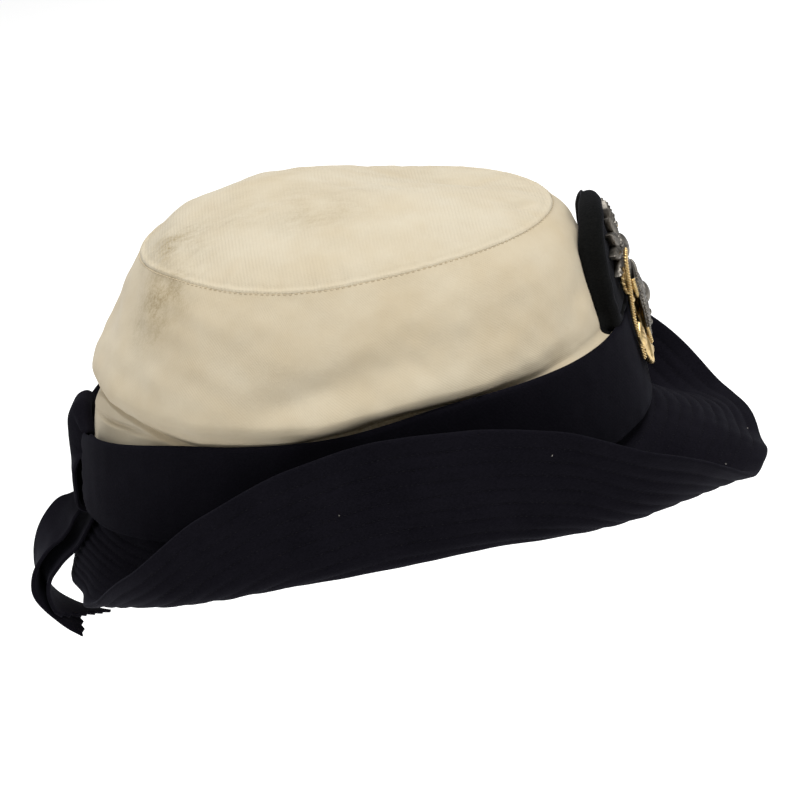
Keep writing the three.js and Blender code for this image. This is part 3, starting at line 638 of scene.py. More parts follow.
def row_stitches(side, seed):
    """Places, directions and normals of the stitches of every row on one face of the brim."""
    draw = np.random.default_rng(seed)
    theta = full_turn(STITCH_ANGLES)
    pitch = row_pitch(brim_walk(theta)[4])
    found = []
    for row in range(1, ROWS + 1):
        line, normal, _ = brim_surface(theta, row * pitch, side)
        whole = round_length(line[:, 0])
        count = int(whole / STITCH["pitch"])
        at = (np.arange(count) + draw.uniform(-STITCH["uneven"], STITCH["uneven"], count)) / count * whole
        spot, way, up = on_closed(line[:, 0], normal[:, 0], np.mod(at, whole), STITCH["ahead"])
        way = unit(way + draw.normal(0, STITCH["askew"], way.shape))
        found.append((spot + up * STITCH["radius"] * STITCH["off"], way, up))
    return [np.concatenate(v) for v in zip(*found)]


for side, name, seed in ((1, "brim_stitches_upper", 21), (-1, "brim_stitches_lower", 19)):
    body = stitch_body(*row_stitches(side, seed), STITCH["long"], STITCH["radius"])
    piece(name, [body], navy_thread)


# Crown cover

FOOT_UPRIGHT = 9.0
FOOT_LOW = {"front": 101.8, "side": 82.3, "back": 112.3}
FOOT_TOP = {"front": 98.3, "side": 82.3, "back": 105.5}


def foot_at(z):
    share = np.maximum(0, (np.asarray(z, float) - FOOT_UPRIGHT) / (BAND_TOP - FOOT_UPRIGHT))
    return {c: FOOT_LOW[c] + (FOOT_TOP[c] - FOOT_LOW[c]) * share for c in FOOT_LOW}


def foot_row(level, z):
    return (level, *foot_at(z).values(), z, z, z)


# Levels of the cover's outside, from the hem up to the seam: distances from the origin, and heights there
COVER_LEVELS = table(
    "level front side back z_front z_side z_back",
    foot_row(0, 2.0),
    foot_row(1, FOOT_UPRIGHT),
    foot_row(2, 35.0),
    (3, 93.5, 82.3, 101, 40, 39, 47),
    (4, 91.5, 85, 102.5, 50, 45.5, 54),
    (5, 88.5, 82, 97, 65, 62, 68),
    (6, 84, 76, 87.5, 77, 77, 83),
    (7, 79.5, 69, 75, 82, 86.5, 97),
)
NECK_LEVEL, SEAM_LEVEL = 3.0, 7.0
CROWN_TILT = 0.022
TOP_MIDDLE = (-14.0, 106.0)
DOME_POWER = 2.2
SETTLE, SOFT_SETTLE = 0.3, 0.12  # shares of the top over which its folds come in
BACK_DROP = {"by": 4.5, "x": (58, 84), "z": (55, 88)}  # how far the back of the crown has sunk, and where

# Dents and ridges of the top: where each lies, its half length and half width, the direction of its length, its rise.
# The soft ones are the panel's own, and its seam doesn't follow them.
TOP_FOLDS = table(
    "x y long wide turn rise",
    (-38, 16, 28, 30, 0, 5.5),
    (34, 26, 38, 30, 0, -6.5),
    (48, -30, 22, 8, 35, 1.2),
)
SOFT_FOLDS = table(
    "x y long wide turn rise",
    (-26, -22, 32, 6, 12, 0.9),
    (-10, -33, 34, 6, 8, -0.9),
    (10, -44, 40, 5, 9, 0.8),
    (67, -17, 8, 2.6, 48, -1.6),
    (70, -11, 7, 2.4, 40, 0.9),
    (20, 2, 26, 9, -18, -0.8),
    (-50, -8, 12, 9, 60, -0.7),
    (2, 40, 30, 7, -10, 0.8),
    (-30, 45, 24, 6, 25, -0.8),
    (0, 26, 20, 20, 0, 1.9),
    (-40, 26, 14, 20, 0, -2.8),
    (42, 24, 24, 20, 0, -2.8),
)


def fold_at(row, x, y):
    """The rise of one dent or ridge at distances from its middle."""
    turn = math.radians(row["turn"])
    along = (x * math.cos(turn) + y * math.sin(turn)) / row["long"]
    across = (y * math.cos(turn) - x * math.sin(turn)) / row["wide"]
    return row["rise"] * np.exp(-(along**2) - across**2)


def top_folds(rows, x, y):
    return sum(fold_at(row, x - row["x"], y - row["y"]) for row in rows_of(rows))


def cover_outside(theta, level, soft=False):
    """Points of the cover's outside, its side up to the seam and its top from there to the middle."""
    seam = np.minimum(level, SEAM_LEVEL)
    value = {c: column_at(COVER_LEVELS, "level", c, seam) for c in COVER_LEVELS if c != "level"}
    c = np.cos(theta)
    x = np.where(c > 0, value["front"], value["back"]) * c
    y = value["side"] * np.sin(theta)
    end = np.where(c > 0, value["z_front"], value["z_back"])
    tilt = CROWN_TILT * smoothstep(seam, NECK_LEVEL, SEAM_LEVEL)
    z = value["z_side"] + (end - value["z_side"]) * c * c - tilt * y
    share = np.clip(level - SEAM_LEVEL, 0, 1)
    x = x + (TOP_MIDDLE[0] - x) * share
    y = y * (1 - share)
    z = z + (TOP_MIDDLE[1] - z) * (1 - (1 - share) ** DOME_POWER)
    z = z + smoothstep(share, 0, SETTLE) * top_folds(TOP_FOLDS, x, y)
    if soft:
        z = z + smoothstep(share, 0, SOFT_SETTLE) * top_folds(SOFT_FOLDS, x, y)
    z = z - BACK_DROP["by"] * smoothstep(-x, *BACK_DROP["x"]) * smoothstep(z, *BACK_DROP["z"])
    return np.stack([x, y, z], -1)


def normals_of(points):
    """Unit normals of a grid of points that closes on itself along its first side."""
    return unit(np.cross(np.roll(points, -1, 0) - np.roll(points, 1, 0), np.gradient(points, axis=1)))


# The tuck where the cover is drawn in over the band, by angle: the height of the crease, how deep it is drawn in, how
# far the cloth stands out above it, the height over which it rolls in, and how far and over what height it comes out
# again below
TUCK = table(
    "angle z depth ridge roll strip back",
    (0, 37, 0.3, 0, 4, 0, 3),
    (40, 38, 0.8, 0.6, 4, 0, 3),
    (70, 42, 3, 1.6, 6, 0.3, 8),
    (95, 42, 3.6, 1.8, 6.5, 0.4, 8),
    (122, 40, 1.6, 1.6, 5, 0.2, 5),
    (146, 43.6, 1.8, 1, 4, 0.4, 4),
    (165, 45.6, 1.8, 0.4, 4, 0.3, 5),
    (180, 46.2, 1.8, 0.2, 4, 0.3, 5),
    (188, 46.7, 1.3, 0.2, 3, 0.4, 2.4),
    (195, 47.2, 1, 0.3, 2.4, 0.5, 1.2),
    (207, 45.3, 1, 0.8, 2.4, 0.7, 1.1),
    (218, 42, 1.2, 1.4, 3, 0.7, 1.1),
    (226, 39.3, 1.4, 2, 4.5, 0.5, 1.4),
    (234, 37.4, 1, 2.2, 5, 0.2, 3),
    (245, 36.4, 0.8, 2, 5, 0.2, 5),
    (252, 36.2, 1.2, 2, 6, 0.2, 8),
    (258, 36.8, 3.6, 2.2, 7.4, 0, 8),
    (264, 37.1, 5.2, 2.4, 9, 0, 8),
    (271, 38, 5.8, 2.5, 9, 0, 8),
    (279, 38.8, 5.6, 2.4, 9, 0, 8),
    (288, 39.2, 4.4, 2.1, 8, 0, 8),
    (300, 38.2, 2.2, 1.6, 6, 0, 8),
    (309, 37.2, 0.9, 0.9, 5, 0, 6),
    (320, 37.6, 0.5, 0.4, 4, 0, 3),
    (360, 37, 0.3, 0, 4, 0, 3),
)
# How wide the painted shade along the crease is
CREASE_SHADE_WIDTH = table(
    "angle wide",
    (0, 1.5), (60, 2.4), (100, 2.4), (150, 1.0), (230, 1.0), (250, 2), (262, 3.4), (290, 3.6), (310, 2), (360, 1.5),
)
RIDGE_FADE, STRIP_FADE = 9, 3  # heights over which a ridge and a strip die away
CLEAR_OF_BAND, UNDER_BAND = (36.8, 39), (24, 33)  # heights over which the cloth may start to move out, and in

# Softer folds of the side: angle and height of the middle, half length and half width, slope, and rise
SIDE_FOLDS = table(
    "angle z long wide turn rise",
    (258, 55, 24, 6.5, 12, -2.4),
    (282, 58, 30, 8, 10, -1.3),
    (235, 52, 22, 7, -16, 0.8),
    (203, 43, 20, 2, -2, 0.3),
    (200.5, 40.2, 17, 0.8, 4, -1.6),
    (212, 40.6, 9, 0.9, -1, -0.9),
    (218, 66, 20, 7, 30, -0.7),
    (300, 66, 22, 8, 20, 0.6),
    (330, 52, 20, 6, 35, -0.8),
    (245, 74, 26, 5, 5, -0.5),
    (60, 60, 30, 8, -10, -1.2),
    (110, 58, 26, 7, 12, -1.3),
    (150, 62, 24, 8, -20, -1.0),
    (30, 68, 20, 8, 15, 0.7),
    (188, 72, 46, 12, 0, -2.2),
)
FOLD_RADIUS = 90.0  # radius that turns an angle from a fold's middle into a length
SEAM_STILL = (6.5, 6.95)  # levels over which the folds die away below the seam
SEAM_DITCH, SEAM_SUNK = 0.06, (6.9, 6.98)  # depth of the ditch at the seam, and the levels over which it sinks


def tuck_at(angle, z):
    """How far the tuck moves the cloth out at an angle and a height."""
    above = z - column_at(TUCK, "angle", "z", angle)
    depth, ridge, roll, strip, back = (
        column_at(TUCK, "angle", c, angle) for c in ("depth", "ridge", "roll", "strip", "back")
    )
    rolled = -depth + (depth + ridge) * np.sin(np.clip(above / roll, 0, 1) * math.pi / 2)
    rolled = np.where(above > roll, ridge * hump(above - roll, RIDGE_FADE), rolled)
    back_out = -depth + (depth + strip) * smoothstep(-above, 0, back)
    back_out = np.where(above < -back, strip * hump(above + back, STRIP_FADE), back_out)
    return np.where(above < 0, back_out, rolled)


def side_surface(theta, level):
    base = cover_outside(theta, level)
    normal = normals_of(base)
    angle = np.degrees(theta) % 360
    z = base[..., 2]
    free = smoothstep(z, *CLEAR_OF_BAND)
    shift = tuck_at(angle, z)
    shift = shift * np.where(shift > 0, free, smoothstep(z, *UNDER_BAND))
    moved = base + unit(normal * FLAT) * shift[..., None]
    soft = np.zeros_like(z)
    for row in rows_of(SIDE_FOLDS):
        away = np.radians((angle - row["angle"] + 180) % 360 - 180) * FOLD_RADIUS
        soft += fold_at(row, away, z - row["z"])
    soft = (soft + uneven(base, "side_broad")) * (1 - smoothstep(level, *SEAM_STILL)) + uneven(base, "side_fine")
    soft = soft - SEAM_DITCH * smoothstep(level, *SEAM_SUNK)
    return moved + normal * (soft * free)[..., None]


# Stains: the middle of each, its size and how dark it is
DIRT = table(
    "x y z size share",
    (-71, -41, 84, 13, 0.42),
    (-74, -36, 78, 9, 0.25),
    (-66, -48, 86, 8, 0.2),
    (-63, -22, 99, 13, 0.36),
    (-66, -14, 97, 10, 0.28),
    (-62, -40, 93, 9, 0.34),
    (-48, -22, 103, 14, 0.2),
    (-22, -16, 106, 18, 0.16),
    (-4, -27, 104, 17, 0.2),
    (8, -20, 103, 14, 0.16),
    (-20, 18, 107, 20, 0.12),
    (-60, 30, 96, 18, 0.2),
    (-52, 52, 86, 16, 0.2),
    (40, 30, 90, 20, 0.1),
    (30, 66, 82, 16, 0.16),
    (-85, 20, 80, 14, 0.2),
    (72, 36, 70, 14, 0.12),
)
PATCHY = {"mean": 0.85, "by": 0.3, "size": 15, "seed": 60}
# Painted shade in the tuck's crease, and soil along the seam, there as a line and as a wider wash
CREASE_SHADE = {"share": 0.14, "up": 1.0}
SIDE_SOIL = {"line": 0.04, "line_wide": 1.1, "line_mean": 0.7, "wash": 0.06, "wash_wide": 9, "wash_mean": 0.6}
TOP_SOIL = {"line": 0.04, "line_wide": 0.6, "wash": 0.04, "wash_wide": 6}


def dirt_at(points):
    total = np.zeros(points.shape[:-1])
    for i, row in enumerate(rows_of(DIRT)):
        away = np.linalg.norm(points - np.array([row["x"], row["y"], row["z"]]), axis=-1)
        patchy = PATCHY["mean"] + PATCHY["by"] * ripple(points, PATCHY["size"], PATCHY["seed"] + i)
        total += row["share"] * hump(away, row["size"]) * patchy
    return np.clip(total, 0, 1)


COVER_ROUND = 540.0  # length round the cover on which its weave is laid
COVER_ANGLES = 440
INNER_EVERY = 6  # one row of the inside for so many of the outside
cover_theta = full_turn(COVER_ANGLES)[:, None]
side_levels = np.concatenate([
    np.linspace(0.05, 2.2, 8, endpoint=False),
    np.linspace(2.2, 4.9, 84, endpoint=False),
    np.linspace(4.9, 6.5, 26, endpoint=False),
    np.linspace(6.5, 6.998, 16),
])
outer = side_surface(cover_theta, side_levels[None, :])
inner_rows = np.concatenate([np.arange(0, len(side_levels) - 1, INNER_EVERY), [len(side_levels) - 1]])
inner = (outer - normals_of(outer) * COTTON)[:, inner_rows]
side_rings = np.concatenate([outer, inner[:, ::-1]], 1)
climb = np.cumsum(np.concatenate([np.zeros((len(outer), 1)), np.linalg.norm(np.diff(outer, axis=1), axis=2)], 1), 1)
laid = np.concatenate([climb, climb[:, inner_rows][:, ::-1]], 1)
to_seam = climb[:, -1:] - laid
angle = np.degrees(cover_theta)
# Painted shade along the tuck's crease, darker where the cloth is drawn in deeper
crease = side_rings[..., 2] - column_at(TUCK, "angle", "z", angle) - CREASE_SHADE["up"]
crease_shade = CREASE_SHADE["share"] * column_at(TUCK, "angle", "depth", angle)
crease_shade = crease_shade * hump(crease, column_at(CREASE_SHADE_WIDTH, "angle", "wide", angle))
seam_line = SIDE_SOIL["line"] * hump(to_seam, SIDE_SOIL["line_wide"])
seam_wash = SIDE_SOIL["wash"] * np.exp(-to_seam / SIDE_SOIL["wash_wide"])
# Stains and seam soil on the side, together with the painted shade along the crease
side_dirt_and_shade = (
    dirt_at(side_rings) + crease_shade
    + seam_line * (SIDE_SOIL["line_mean"] + uneven(side_rings, "seam_soil"))
    + seam_wash * (SIDE_SOIL["wash_mean"] + uneven(side_rings, "seam_wash"))
)
piece(
    "cover_side_dressed", [torus(side_rings)], side_cotton, "cover_side",
    pairs(cover_theta / TAU * COVER_ROUND, laid), COVER_ROUND, side_dirt_and_shade,
)

# The top panel: from its edge, a welt over the seam, to its middle
WELT = {"high": 0.4, "start": 0.8, "at": 0.9, "wide": 0.9, "ditch": 0.16, "ditch_at": 3.0, "ditch_wide": 1.2}
GATHERS = {"high": 0.2, "long": 9, "start": (0.3, 2.5), "waves": 47, "sway": 3, "sways": 5, "fine": 78, "share": 0.8}
TOP_ROUGH = (2, 9)  # distances from the seam over which the top's unevenness comes in
top_shares = np.concatenate([np.linspace(0.001, 0.06, 18, endpoint=False), np.linspace(0.06, 0.985, 74)])
top_points = cover_outside(cover_theta, SEAM_LEVEL + top_shares[None, :], soft=True)
top_normals = normals_of(top_points)
reach = np.linalg.norm(top_points - top_points[:, :1], axis=-1)
welt = WELT["high"] * smoothstep(reach, 0, WELT["start"]) * hump(reach - WELT["at"], WELT["wide"])
welt = welt - WELT["ditch"] * hump(reach - WELT["ditch_at"], WELT["ditch_wide"])
gathers = np.sin(cover_theta * GATHERS["waves"] + GATHERS["sway"] * np.sin(cover_theta * GATHERS["sways"]))
gathers = gathers + GATHERS["share"] * np.sin(cover_theta * GATHERS["fine"] + 1.0)
gathers = gathers * GATHERS["high"] * np.exp(-reach / GATHERS["long"]) * smoothstep(reach, *GATHERS["start"])
rough = (uneven(top_points, "top_broad") + uneven(top_points, "top_fine")) * smoothstep(reach, *TOP_ROUGH)
top_points = top_points + top_normals * (welt + gathers + rough)[..., None]
top_under = (top_points - normals_of(top_points) * COTTON)[:, ::INNER_EVERY]
top_body = capped_rings(np.concatenate([top_points[:, ::-1], top_under], 1).swapaxes(0, 1))
top_reach = np.concatenate([reach[:, ::-1], reach[:, ::INNER_EVERY]], 1).T.ravel()
top_reach = np.append(top_reach, [reach.max(), reach.max()])
top_dirt = dirt_at(top_body[0]) + TOP_SOIL["line"] * hump(top_reach, TOP_SOIL["line_wide"])
top_dirt = top_dirt + TOP_SOIL["wash"] * np.exp(-top_reach / TOP_SOIL["wash_wide"])
piece("cover_top_dressed", [top_body], top_cotton, "cover_top", top_body[0][:, :2], None, top_dirt)

# Stitches in the ditch below the welt
SEAM_STITCH = {"pitch": 2.1, "long": 1.5, "radius": 0.2, "off": 0.06, "ahead": 0.5, "angles": 900}
DITCH_LEVELS = (6.84, 6.9, 6.95)  # the stitches lie on the middle one
ditch_theta = full_turn(SEAM_STITCH["angles"])[:, None]
ditch = side_surface(ditch_theta, np.array([DITCH_LEVELS]))
ditch_at = np.arange(int(round_length(ditch[:, 1]) / SEAM_STITCH["pitch"])) * SEAM_STITCH["pitch"]
spots, ways, ups = on_closed(ditch[:, 1], normals_of(ditch)[:, 1], ditch_at, SEAM_STITCH["ahead"])
seam_body = stitch_body(spots + ups * SEAM_STITCH["off"], ways, ups, SEAM_STITCH["long"], SEAM_STITCH["radius"])
piece("cover_stitches", [seam_body], tan_thread)


# Band

# The band's course from its pinked end round to the other: how far it is lifted, and the heights of its edges
BAND_COURSE = table(
    "turn lift low top",
    (192.5, 4.7, 2.8, 34.3),
    (203, 4.6, 2, 36.6),
    (232, 0, 0.6, 38.5),
    (258, 0, 0.6, 38.5),
    (286, 1.6, 0.6, 42.2),
    (318, 0, 0.6, 38.5),
    (492, 0, 0.6, 38.5),
    (524, 2.5, 2.8, 36.8),
    (533, 2.5, 2.8, 36.5),
    (537, 2.5, 2.8, 31),
    (542, 2.5, 2.8, 28.5),
    (550, 2.5, 2.8, 29),
    (555, 2.5, 2.8, 34),
    (559, 2.5, 2.8, 34.4),
)
BAND_DEGREE = 1.6  # length of a degree along the band
BAND_EDGE = 0.8  # how far in from its edges the band is rounded
BAND_PRESS = {"ditch": 0.16, "ditch_at": 3.8, "ditch_wide": 0.45, "roll": 0.1, "roll_at": 2.6, "roll_wide": 0.9}
BAND_END, END_COLUMNS, BAND_COLUMNS = 4, 14, 520  # degrees at the pinked end, and columns there and over the rest
PINK_PITCH, PINK_DEPTH, TAIL_PINK = 4.6, 2.2, 1.9  # the pinked teeth, and how deep they are on the tails


def foot_place(theta, z, out):
    foot = foot_at(z)
    c = np.cos(theta)
    end = np.where(c > 0, foot["front"], foot["back"])
    return np.stack(np.broadcast_arrays((end + out) * c, (foot["side"] + out) * np.sin(theta), z), -1)


def band_cap(outside, m):
    """Triangles that close an end ring whose outside row has more points than its inside row."""
    inside = m - outside
    faces = []
    i, j = 0, 0
    while i < outside - 1 or j < inside - 1:
        a, b = i, m - 1 - j
        if j >= inside - 1 or (i < outside - 1 and (i + 1) / (outside - 1) <= (j + 1) / (inside - 1)):
            faces.append((a, a + 1, b))
            i += 1
        else:
            faces.append((a, b - 1, b))
            j += 1
    return np.array(faces)


def band_piece():
    first, last = BAND_COURSE["turn"][[0, -1]]
    columns = np.concatenate([
        np.linspace(0, BAND_END, END_COLUMNS, endpoint=False), np.linspace(BAND_END, last - first, BAND_COLUMNS)
    ])
    rise = np.concatenate([[0, 0.012, 0.035], np.linspace(0.07, 0.93, 26), [0.965, 0.988, 1]])
    edge = np.minimum(rise, 1 - rise) * BAND_TOP
    half = RIBBON / 2 * np.sqrt(np.clip(1 - (1 - np.minimum(edge / BAND_EDGE, 1)) ** 2, 0, 1))
    ring_rise = np.concatenate([rise, rise[::-1][::3]])
    ring_out = np.concatenate([RIBBON / 2 + half, (RIBBON / 2 - half)[::-1][::3]])
    outside = np.arange(len(ring_rise)) < len(rise)
    teeth = zigzag(ring_rise * BAND_TOP / PINK_PITCH + 0.3) * PINK_DEPTH / BAND_DEGREE
    turn = first + columns[:, None] + teeth[None, :] * (1 - smoothstep(columns, 0, 5))[:, None]
    lift, low, top = (column_at(BAND_COURSE, "turn", c, turn) for c in ("lift", "low", "top"))
    up = 2 * ring_rise[None, :]
    z = np.where(up < 1, low + (FOOT_UPRIGHT - low) * up, FOOT_UPRIGHT + (top - FOOT_UPRIGHT) * (up - 1))
    theta = np.radians(turn)
    place = foot_place(theta, z, GAP + lift + ring_out[None, :])
    swell = UNEVEN["band_broad"][0] + uneven(place, "band_broad") + uneven(place, "band_fine")
    height = ring_rise[None, :] * BAND_TOP
    press = BAND_PRESS["roll"] * hump(height - BAND_PRESS["roll_at"], BAND_PRESS["roll_wide"])
    press = press - BAND_PRESS["ditch"] * hump(height - BAND_PRESS["ditch_at"], BAND_PRESS["ditch_wide"])
    flat_out = np.stack([np.cos(theta), np.sin(theta), np.zeros_like(theta)], -1)
    place = place + flat_out * ((swell + press) * outside[None, :])[..., None]
    place[..., 2] += uneven(place, "band_edge") * smoothstep(ring_rise, 0.8, 1)[None, :]
    n, m = place.shape[:2]
    cap = band_cap(len(rise), m)
    faces = [grid_faces(n, m, False, True), cap, cap[:, ::-1] + (n - 1) * m]
    cloth = pairs(columns[:, None] * BAND_DEGREE, height)
    return piece("hat_band_dressed", [(place, faces)], band_wool, "hat_band", cloth)


hat_band = band_piece()


# Bow

# The loop's line from its foot up its inner ply and down its outer one: x and z
LOOP_LINE = [
    (-113.7, 1), (-113.6, 8.5), (-111.3, 25.5), (-109.3, 33.6), (-108.6, 36.6), (-110.2, 38.5), (-113.4, 37.9),
    (-116.6, 34), (-118.2, 27), (-119.2, 18), (-120.6, 8), (-120.7, 1.2), (-117, -0.9),
]
# The loop's near edge: how far it is drawn in at each height, the room it leaves, how far the inner ply is set back
# and how far the edge sags
LOOP_TUCK = {"z": (16, 22, 27, 32, 40), "move": (0, 2.2, 6, 8.4, 8.4), "clear": 1.9, "inside": 2.6, "sag": 7.5}
LOOP_SAG, LOOP_HIGH = (17, 36), (18, 26)  # heights over which the edge starts to sag, and to fray
LOOP_OVER, LOOP_INSIDE = 6, 4  # lengths past the top over which the outer and the inner ply start to move
LOOP_FRAY = {"deep": 0.8, "pitch": 5.2}
LOOP_SHUT = {"from": (0, 8), "until": (12, 24)}  # heights between which the far edge is closed
BACK_RADIUS = 64.0  # to which the loop bends round the back
# The tails' lines from under the loop to their ends: x, y, z and twist
TAIL_OUTER = [
    (-121.8, 0, -0.6, -2), (-124.6, -0.6, -2, -8), (-128, -1, -4.2, -18), (-132.2, -1.5, -7.5, -20),
    (-136.8, -2, -11.1, -15), (-141.2, -2.5, -16.3, -9), (-144.3, -3, -22.4, -3), (-145.7, -3, -29.4, 0),
    (-142.8, -2.5, -37.5, 0), (-137.2, -1.6, -46.6, -1), (-131, -1.4, -52.4, 1),
]
TAIL_INNER = [
    (-115.8, -4, -3.2, 0), (-120.3, -5, -7, -6), (-126.6, -5, -12.6, -12), (-134.4, -4.6, -17.2, -16),
    (-140.2, -4, -23.7, -15), (-142.2, -3.6, -30.8, -12), (-139.7, -3.8, -39.6, -5), (-133.4, -4.4, -46.5, 0),
    (-126.1, -5, -50.4, 1), (-121, -5, -53, 3),
]
TAIL_CUP, CUP_START = 1.4, 14  # how far the tails are cupped, and the length over which that starts


def ribbon_ring(columns, width):
    """Places across a ribbon and off its middle ply, all the way round it, its edges rounded."""
    across = np.linspace(-1, 1, columns)
    off = np.sqrt(np.clip(1 - np.clip((np.abs(across) - 0.9) / 0.1, 0, 1) ** 2, 0, 1)) * RIBBON / 2
    off[[0, -1]] = 0.12
    return np.concatenate([across, across[::-1]]) * width / 2, np.concatenate([off, -off[::-1]])


def frames(line, closed, twist):
    """Directions across a ribbon and off it, along its line."""
    tangent = tangents(line, closed)
    y = np.array([0.0, 1.0, 0.0])
    turn = np.radians(twist)[:, None]
    side = y * np.cos(turn) + np.cross(tangent, y) * np.sin(turn)
    side = side + tangent * (tangent @ y)[:, None] * (1 - np.cos(turn))
    side = unit(side - tangent * np.einsum("ij,ij->i", side, tangent)[:, None])
    return side, np.cross(tangent, side)


def loop_piece():
    line, length = curve_points([(x, 0, z) for x, z in LOOP_LINE], True, 190)
    side, normal = frames(line, True, np.zeros(len(line)))
    y, off = ribbon_ring(21, LOOP_WIDTH)
    z = line[:, 2]
    top = int(z.argmax())
    at = np.arange(len(line)) * length / len(line)
    past_top = (np.arange(len(line)) - top) * length / len(line)
    over = smoothstep(past_top, 0, LOOP_OVER)
    high = smoothstep(z, *LOOP_HIGH)
    near = smoothstep(-y, LOOP_WIDTH * 0.3, LOOP_WIDTH * 0.5)[None, :]
    frayed = high * (past_top > 0) * LOOP_FRAY["deep"] * zigzag(at / LOOP_FRAY["pitch"])
    drawn_in = high * smoothstep(-past_top, 0, LOOP_INSIDE) * LOOP_TUCK["inside"]
    y_at = y[None, :] + (frayed + drawn_in)[:, None] * near
    place = line[:, None] + side[:, None] * y_at[..., None] + normal[:, None] * off[None, :, None]
    place[..., 0] += y_at**2 / (2 * BACK_RADIUS)
    inner_x = np.interp(z, z[: top + 1], line[: top + 1, 0])
    room = np.clip(inner_x - line[:, 0] - LOOP_TUCK["clear"], 0, None) * (past_top > 0)
    wrap = LOOP_TUCK["clear"] * smoothstep(-y, LOOP_WIDTH * 0.36, LOOP_WIDTH * 0.48)
    reach_in = np.minimum(np.interp(z, LOOP_TUCK["z"], LOOP_TUCK["move"])[:, None], room[:, None] + wrap[None, :])
    place[..., 0] += reach_in * over[:, None] * smoothstep(-y, -2, LOOP_WIDTH / 2)[None, :]
    place[..., 2] -= LOOP_TUCK["sag"] * smoothstep(place[..., 2], *LOOP_SAG) * smoothstep(-y, -3, LOOP_WIDTH / 2)
    shut = room * over * smoothstep(z, *LOOP_SHUT["from"]) * (1 - smoothstep(z, *LOOP_SHUT["until"]))
    place[..., 0] += shut[:, None] * smoothstep(y, -1, LOOP_WIDTH / 2)[None, :]
    place += normal[:, None] * uneven(place, "loop")[..., None]
    cloth = pairs(at[:, None], y[None, :])
    made = piece("bow_loop_dressed", [torus(place)], band_wool, "bow_loop", cloth, length)
    return made, length


def tail_piece(name, rows, near_short, far_short):
    """A tail whose pinked end is cut near_short and far_short mm back at its two edges."""
    line, length = curve_points(rows, False, 150)
    line, twist = line[:, :3], line[:, 3]
    y, off = ribbon_ring(61, TAIL_WIDTH)
    share = y / TAIL_WIDTH + 0.5
    teeth = round(math.hypot(TAIL_WIDTH, far_short - near_short) / PINK_PITCH)
    cut = near_short + (far_short - near_short) * share + TAIL_PINK * zigzag(share * teeth + 0.2)
    at = np.linspace(0, 1, len(line))[:, None] * (length - cut[None, :])
    along = np.linspace(0, length, len(line))
    place, sides, outs = (sampled(at, along, v) for v in (line, *frames(line, False, twist)))
    cup = TAIL_CUP * (1 - (2 * y / TAIL_WIDTH) ** 2) * smoothstep(at, 0, CUP_START)
    place = place + sides * y[None, :, None] + outs * (cup + off[None, :])[..., None]
    place += outs * uneven(place, name)[..., None]
    n, m = place.shape[:2]
    faces = [grid_faces(n, m, False, True), end_strip(m), end_strip(m, (n - 1) * m)[:, ::-1]]
    cloth = pairs(at, y[None, :])
    made = piece(f"bow_{name}_dressed", [(place, faces)], band_wool, f"bow_{name}", cloth)
    return made, length, float((length - cut).mean()) * TAIL_WIDTH


bow_loop, loop_length = loop_piece()
tails = [tail_piece("tail_outer", TAIL_OUTER, 0.0, 5.0), tail_piece("tail_inner", TAIL_INNER, 22.0, 0.0)]


# Badge

BADGE_RADIUS, BADGE_FRONT, BADGE_FOOT, BADGE_LEAN = 72.0, 104.4, 8.0, math.radians(6)


def bent(points):
    """Points laid out flat, across, up and out, bent round the front of the hat."""
    across, up, out = (points[..., i] for i in range(3))
    turn = across / BADGE_RADIUS
    reach = BADGE_RADIUS + out * math.cos(BADGE_LEAN)
    return np.stack([
        BADGE_FRONT - BADGE_RADIUS + reach * np.cos(turn) - up * math.sin(BADGE_LEAN),
        -reach * np.sin(turn),
        BADGE_FOOT + up * math.cos(BADGE_LEAN) + out * math.sin(BADGE_LEAN),
    ], -1)


def outline_ring(rows, count):
    """A symmetric outline from rows of height and half width."""
    right = [(half, up, 0) for up, half in rows]
    left = [(-half, up, 0) for up, half in reversed(rows)]
    return curve_points(right + left, True, count)[0][:, :2]


def layered(outline, middle, rounding, steps):
    """Rings of an outline drawn in and raised from layer to layer."""
    at = np.linspace(rounding["share"][0], rounding["share"][-1], steps)
    scale = column_at(rounding, "share", "scale", at)[:, None]
    out = column_at(rounding, "share", "out", at)[:, None]
    x = outline[None, :, 0] * scale
    y = middle + (outline[None, :, 1] - middle) * scale
    return np.stack(np.broadcast_arrays(x, y, out), -1)


PAD_OUTLINE = [
    (31.7, 8.5), (31.7, 17), (31.2, 25), (29.8, 30.5), (30.8, 33), (36, 33), (42, 32.6), (52, 30.4), (62, 27),
    (68.5, 19), (72, 8),
]
PAD_MIDDLE = 50.0
# From the middle of the pad's back, out round its side wall and its rolled edge, to the middle of its front
PAD_ROUNDING = table(
    "share scale out",
    (0, 0.02, -9.2),
    (1, 0.5, -9.2),
    (2, 0.96, -9.2),
    (3, 1.025, -8.8),
    (4, 1.045, -7.8),
    (5, 1.04, -6.4),
    (6, 1.015, -4.8),
    (7, 1.005, -3.2),
    (8, 0.998, -2),
    (9, 0.975, -1),
    (10, 0.935, -0.2),
    (11, 0.89, 0.1),
    (12, 0.845, -0.25),
    (13, 0.815, -0.9),
    (14, 0.785, -0.75),
    (15, 0.5, -0.5),
    (16, 0.02, -0.5),
)
PAD_CLEAR = 0.3  # room between the pad and the cover
FAR_WALL, TOP_WALL, FOOT_WALL = 4.4, 1.6, 3.0  # how far the wall is thinned, let down, and widened at its foot
PAD_BATCH = 500

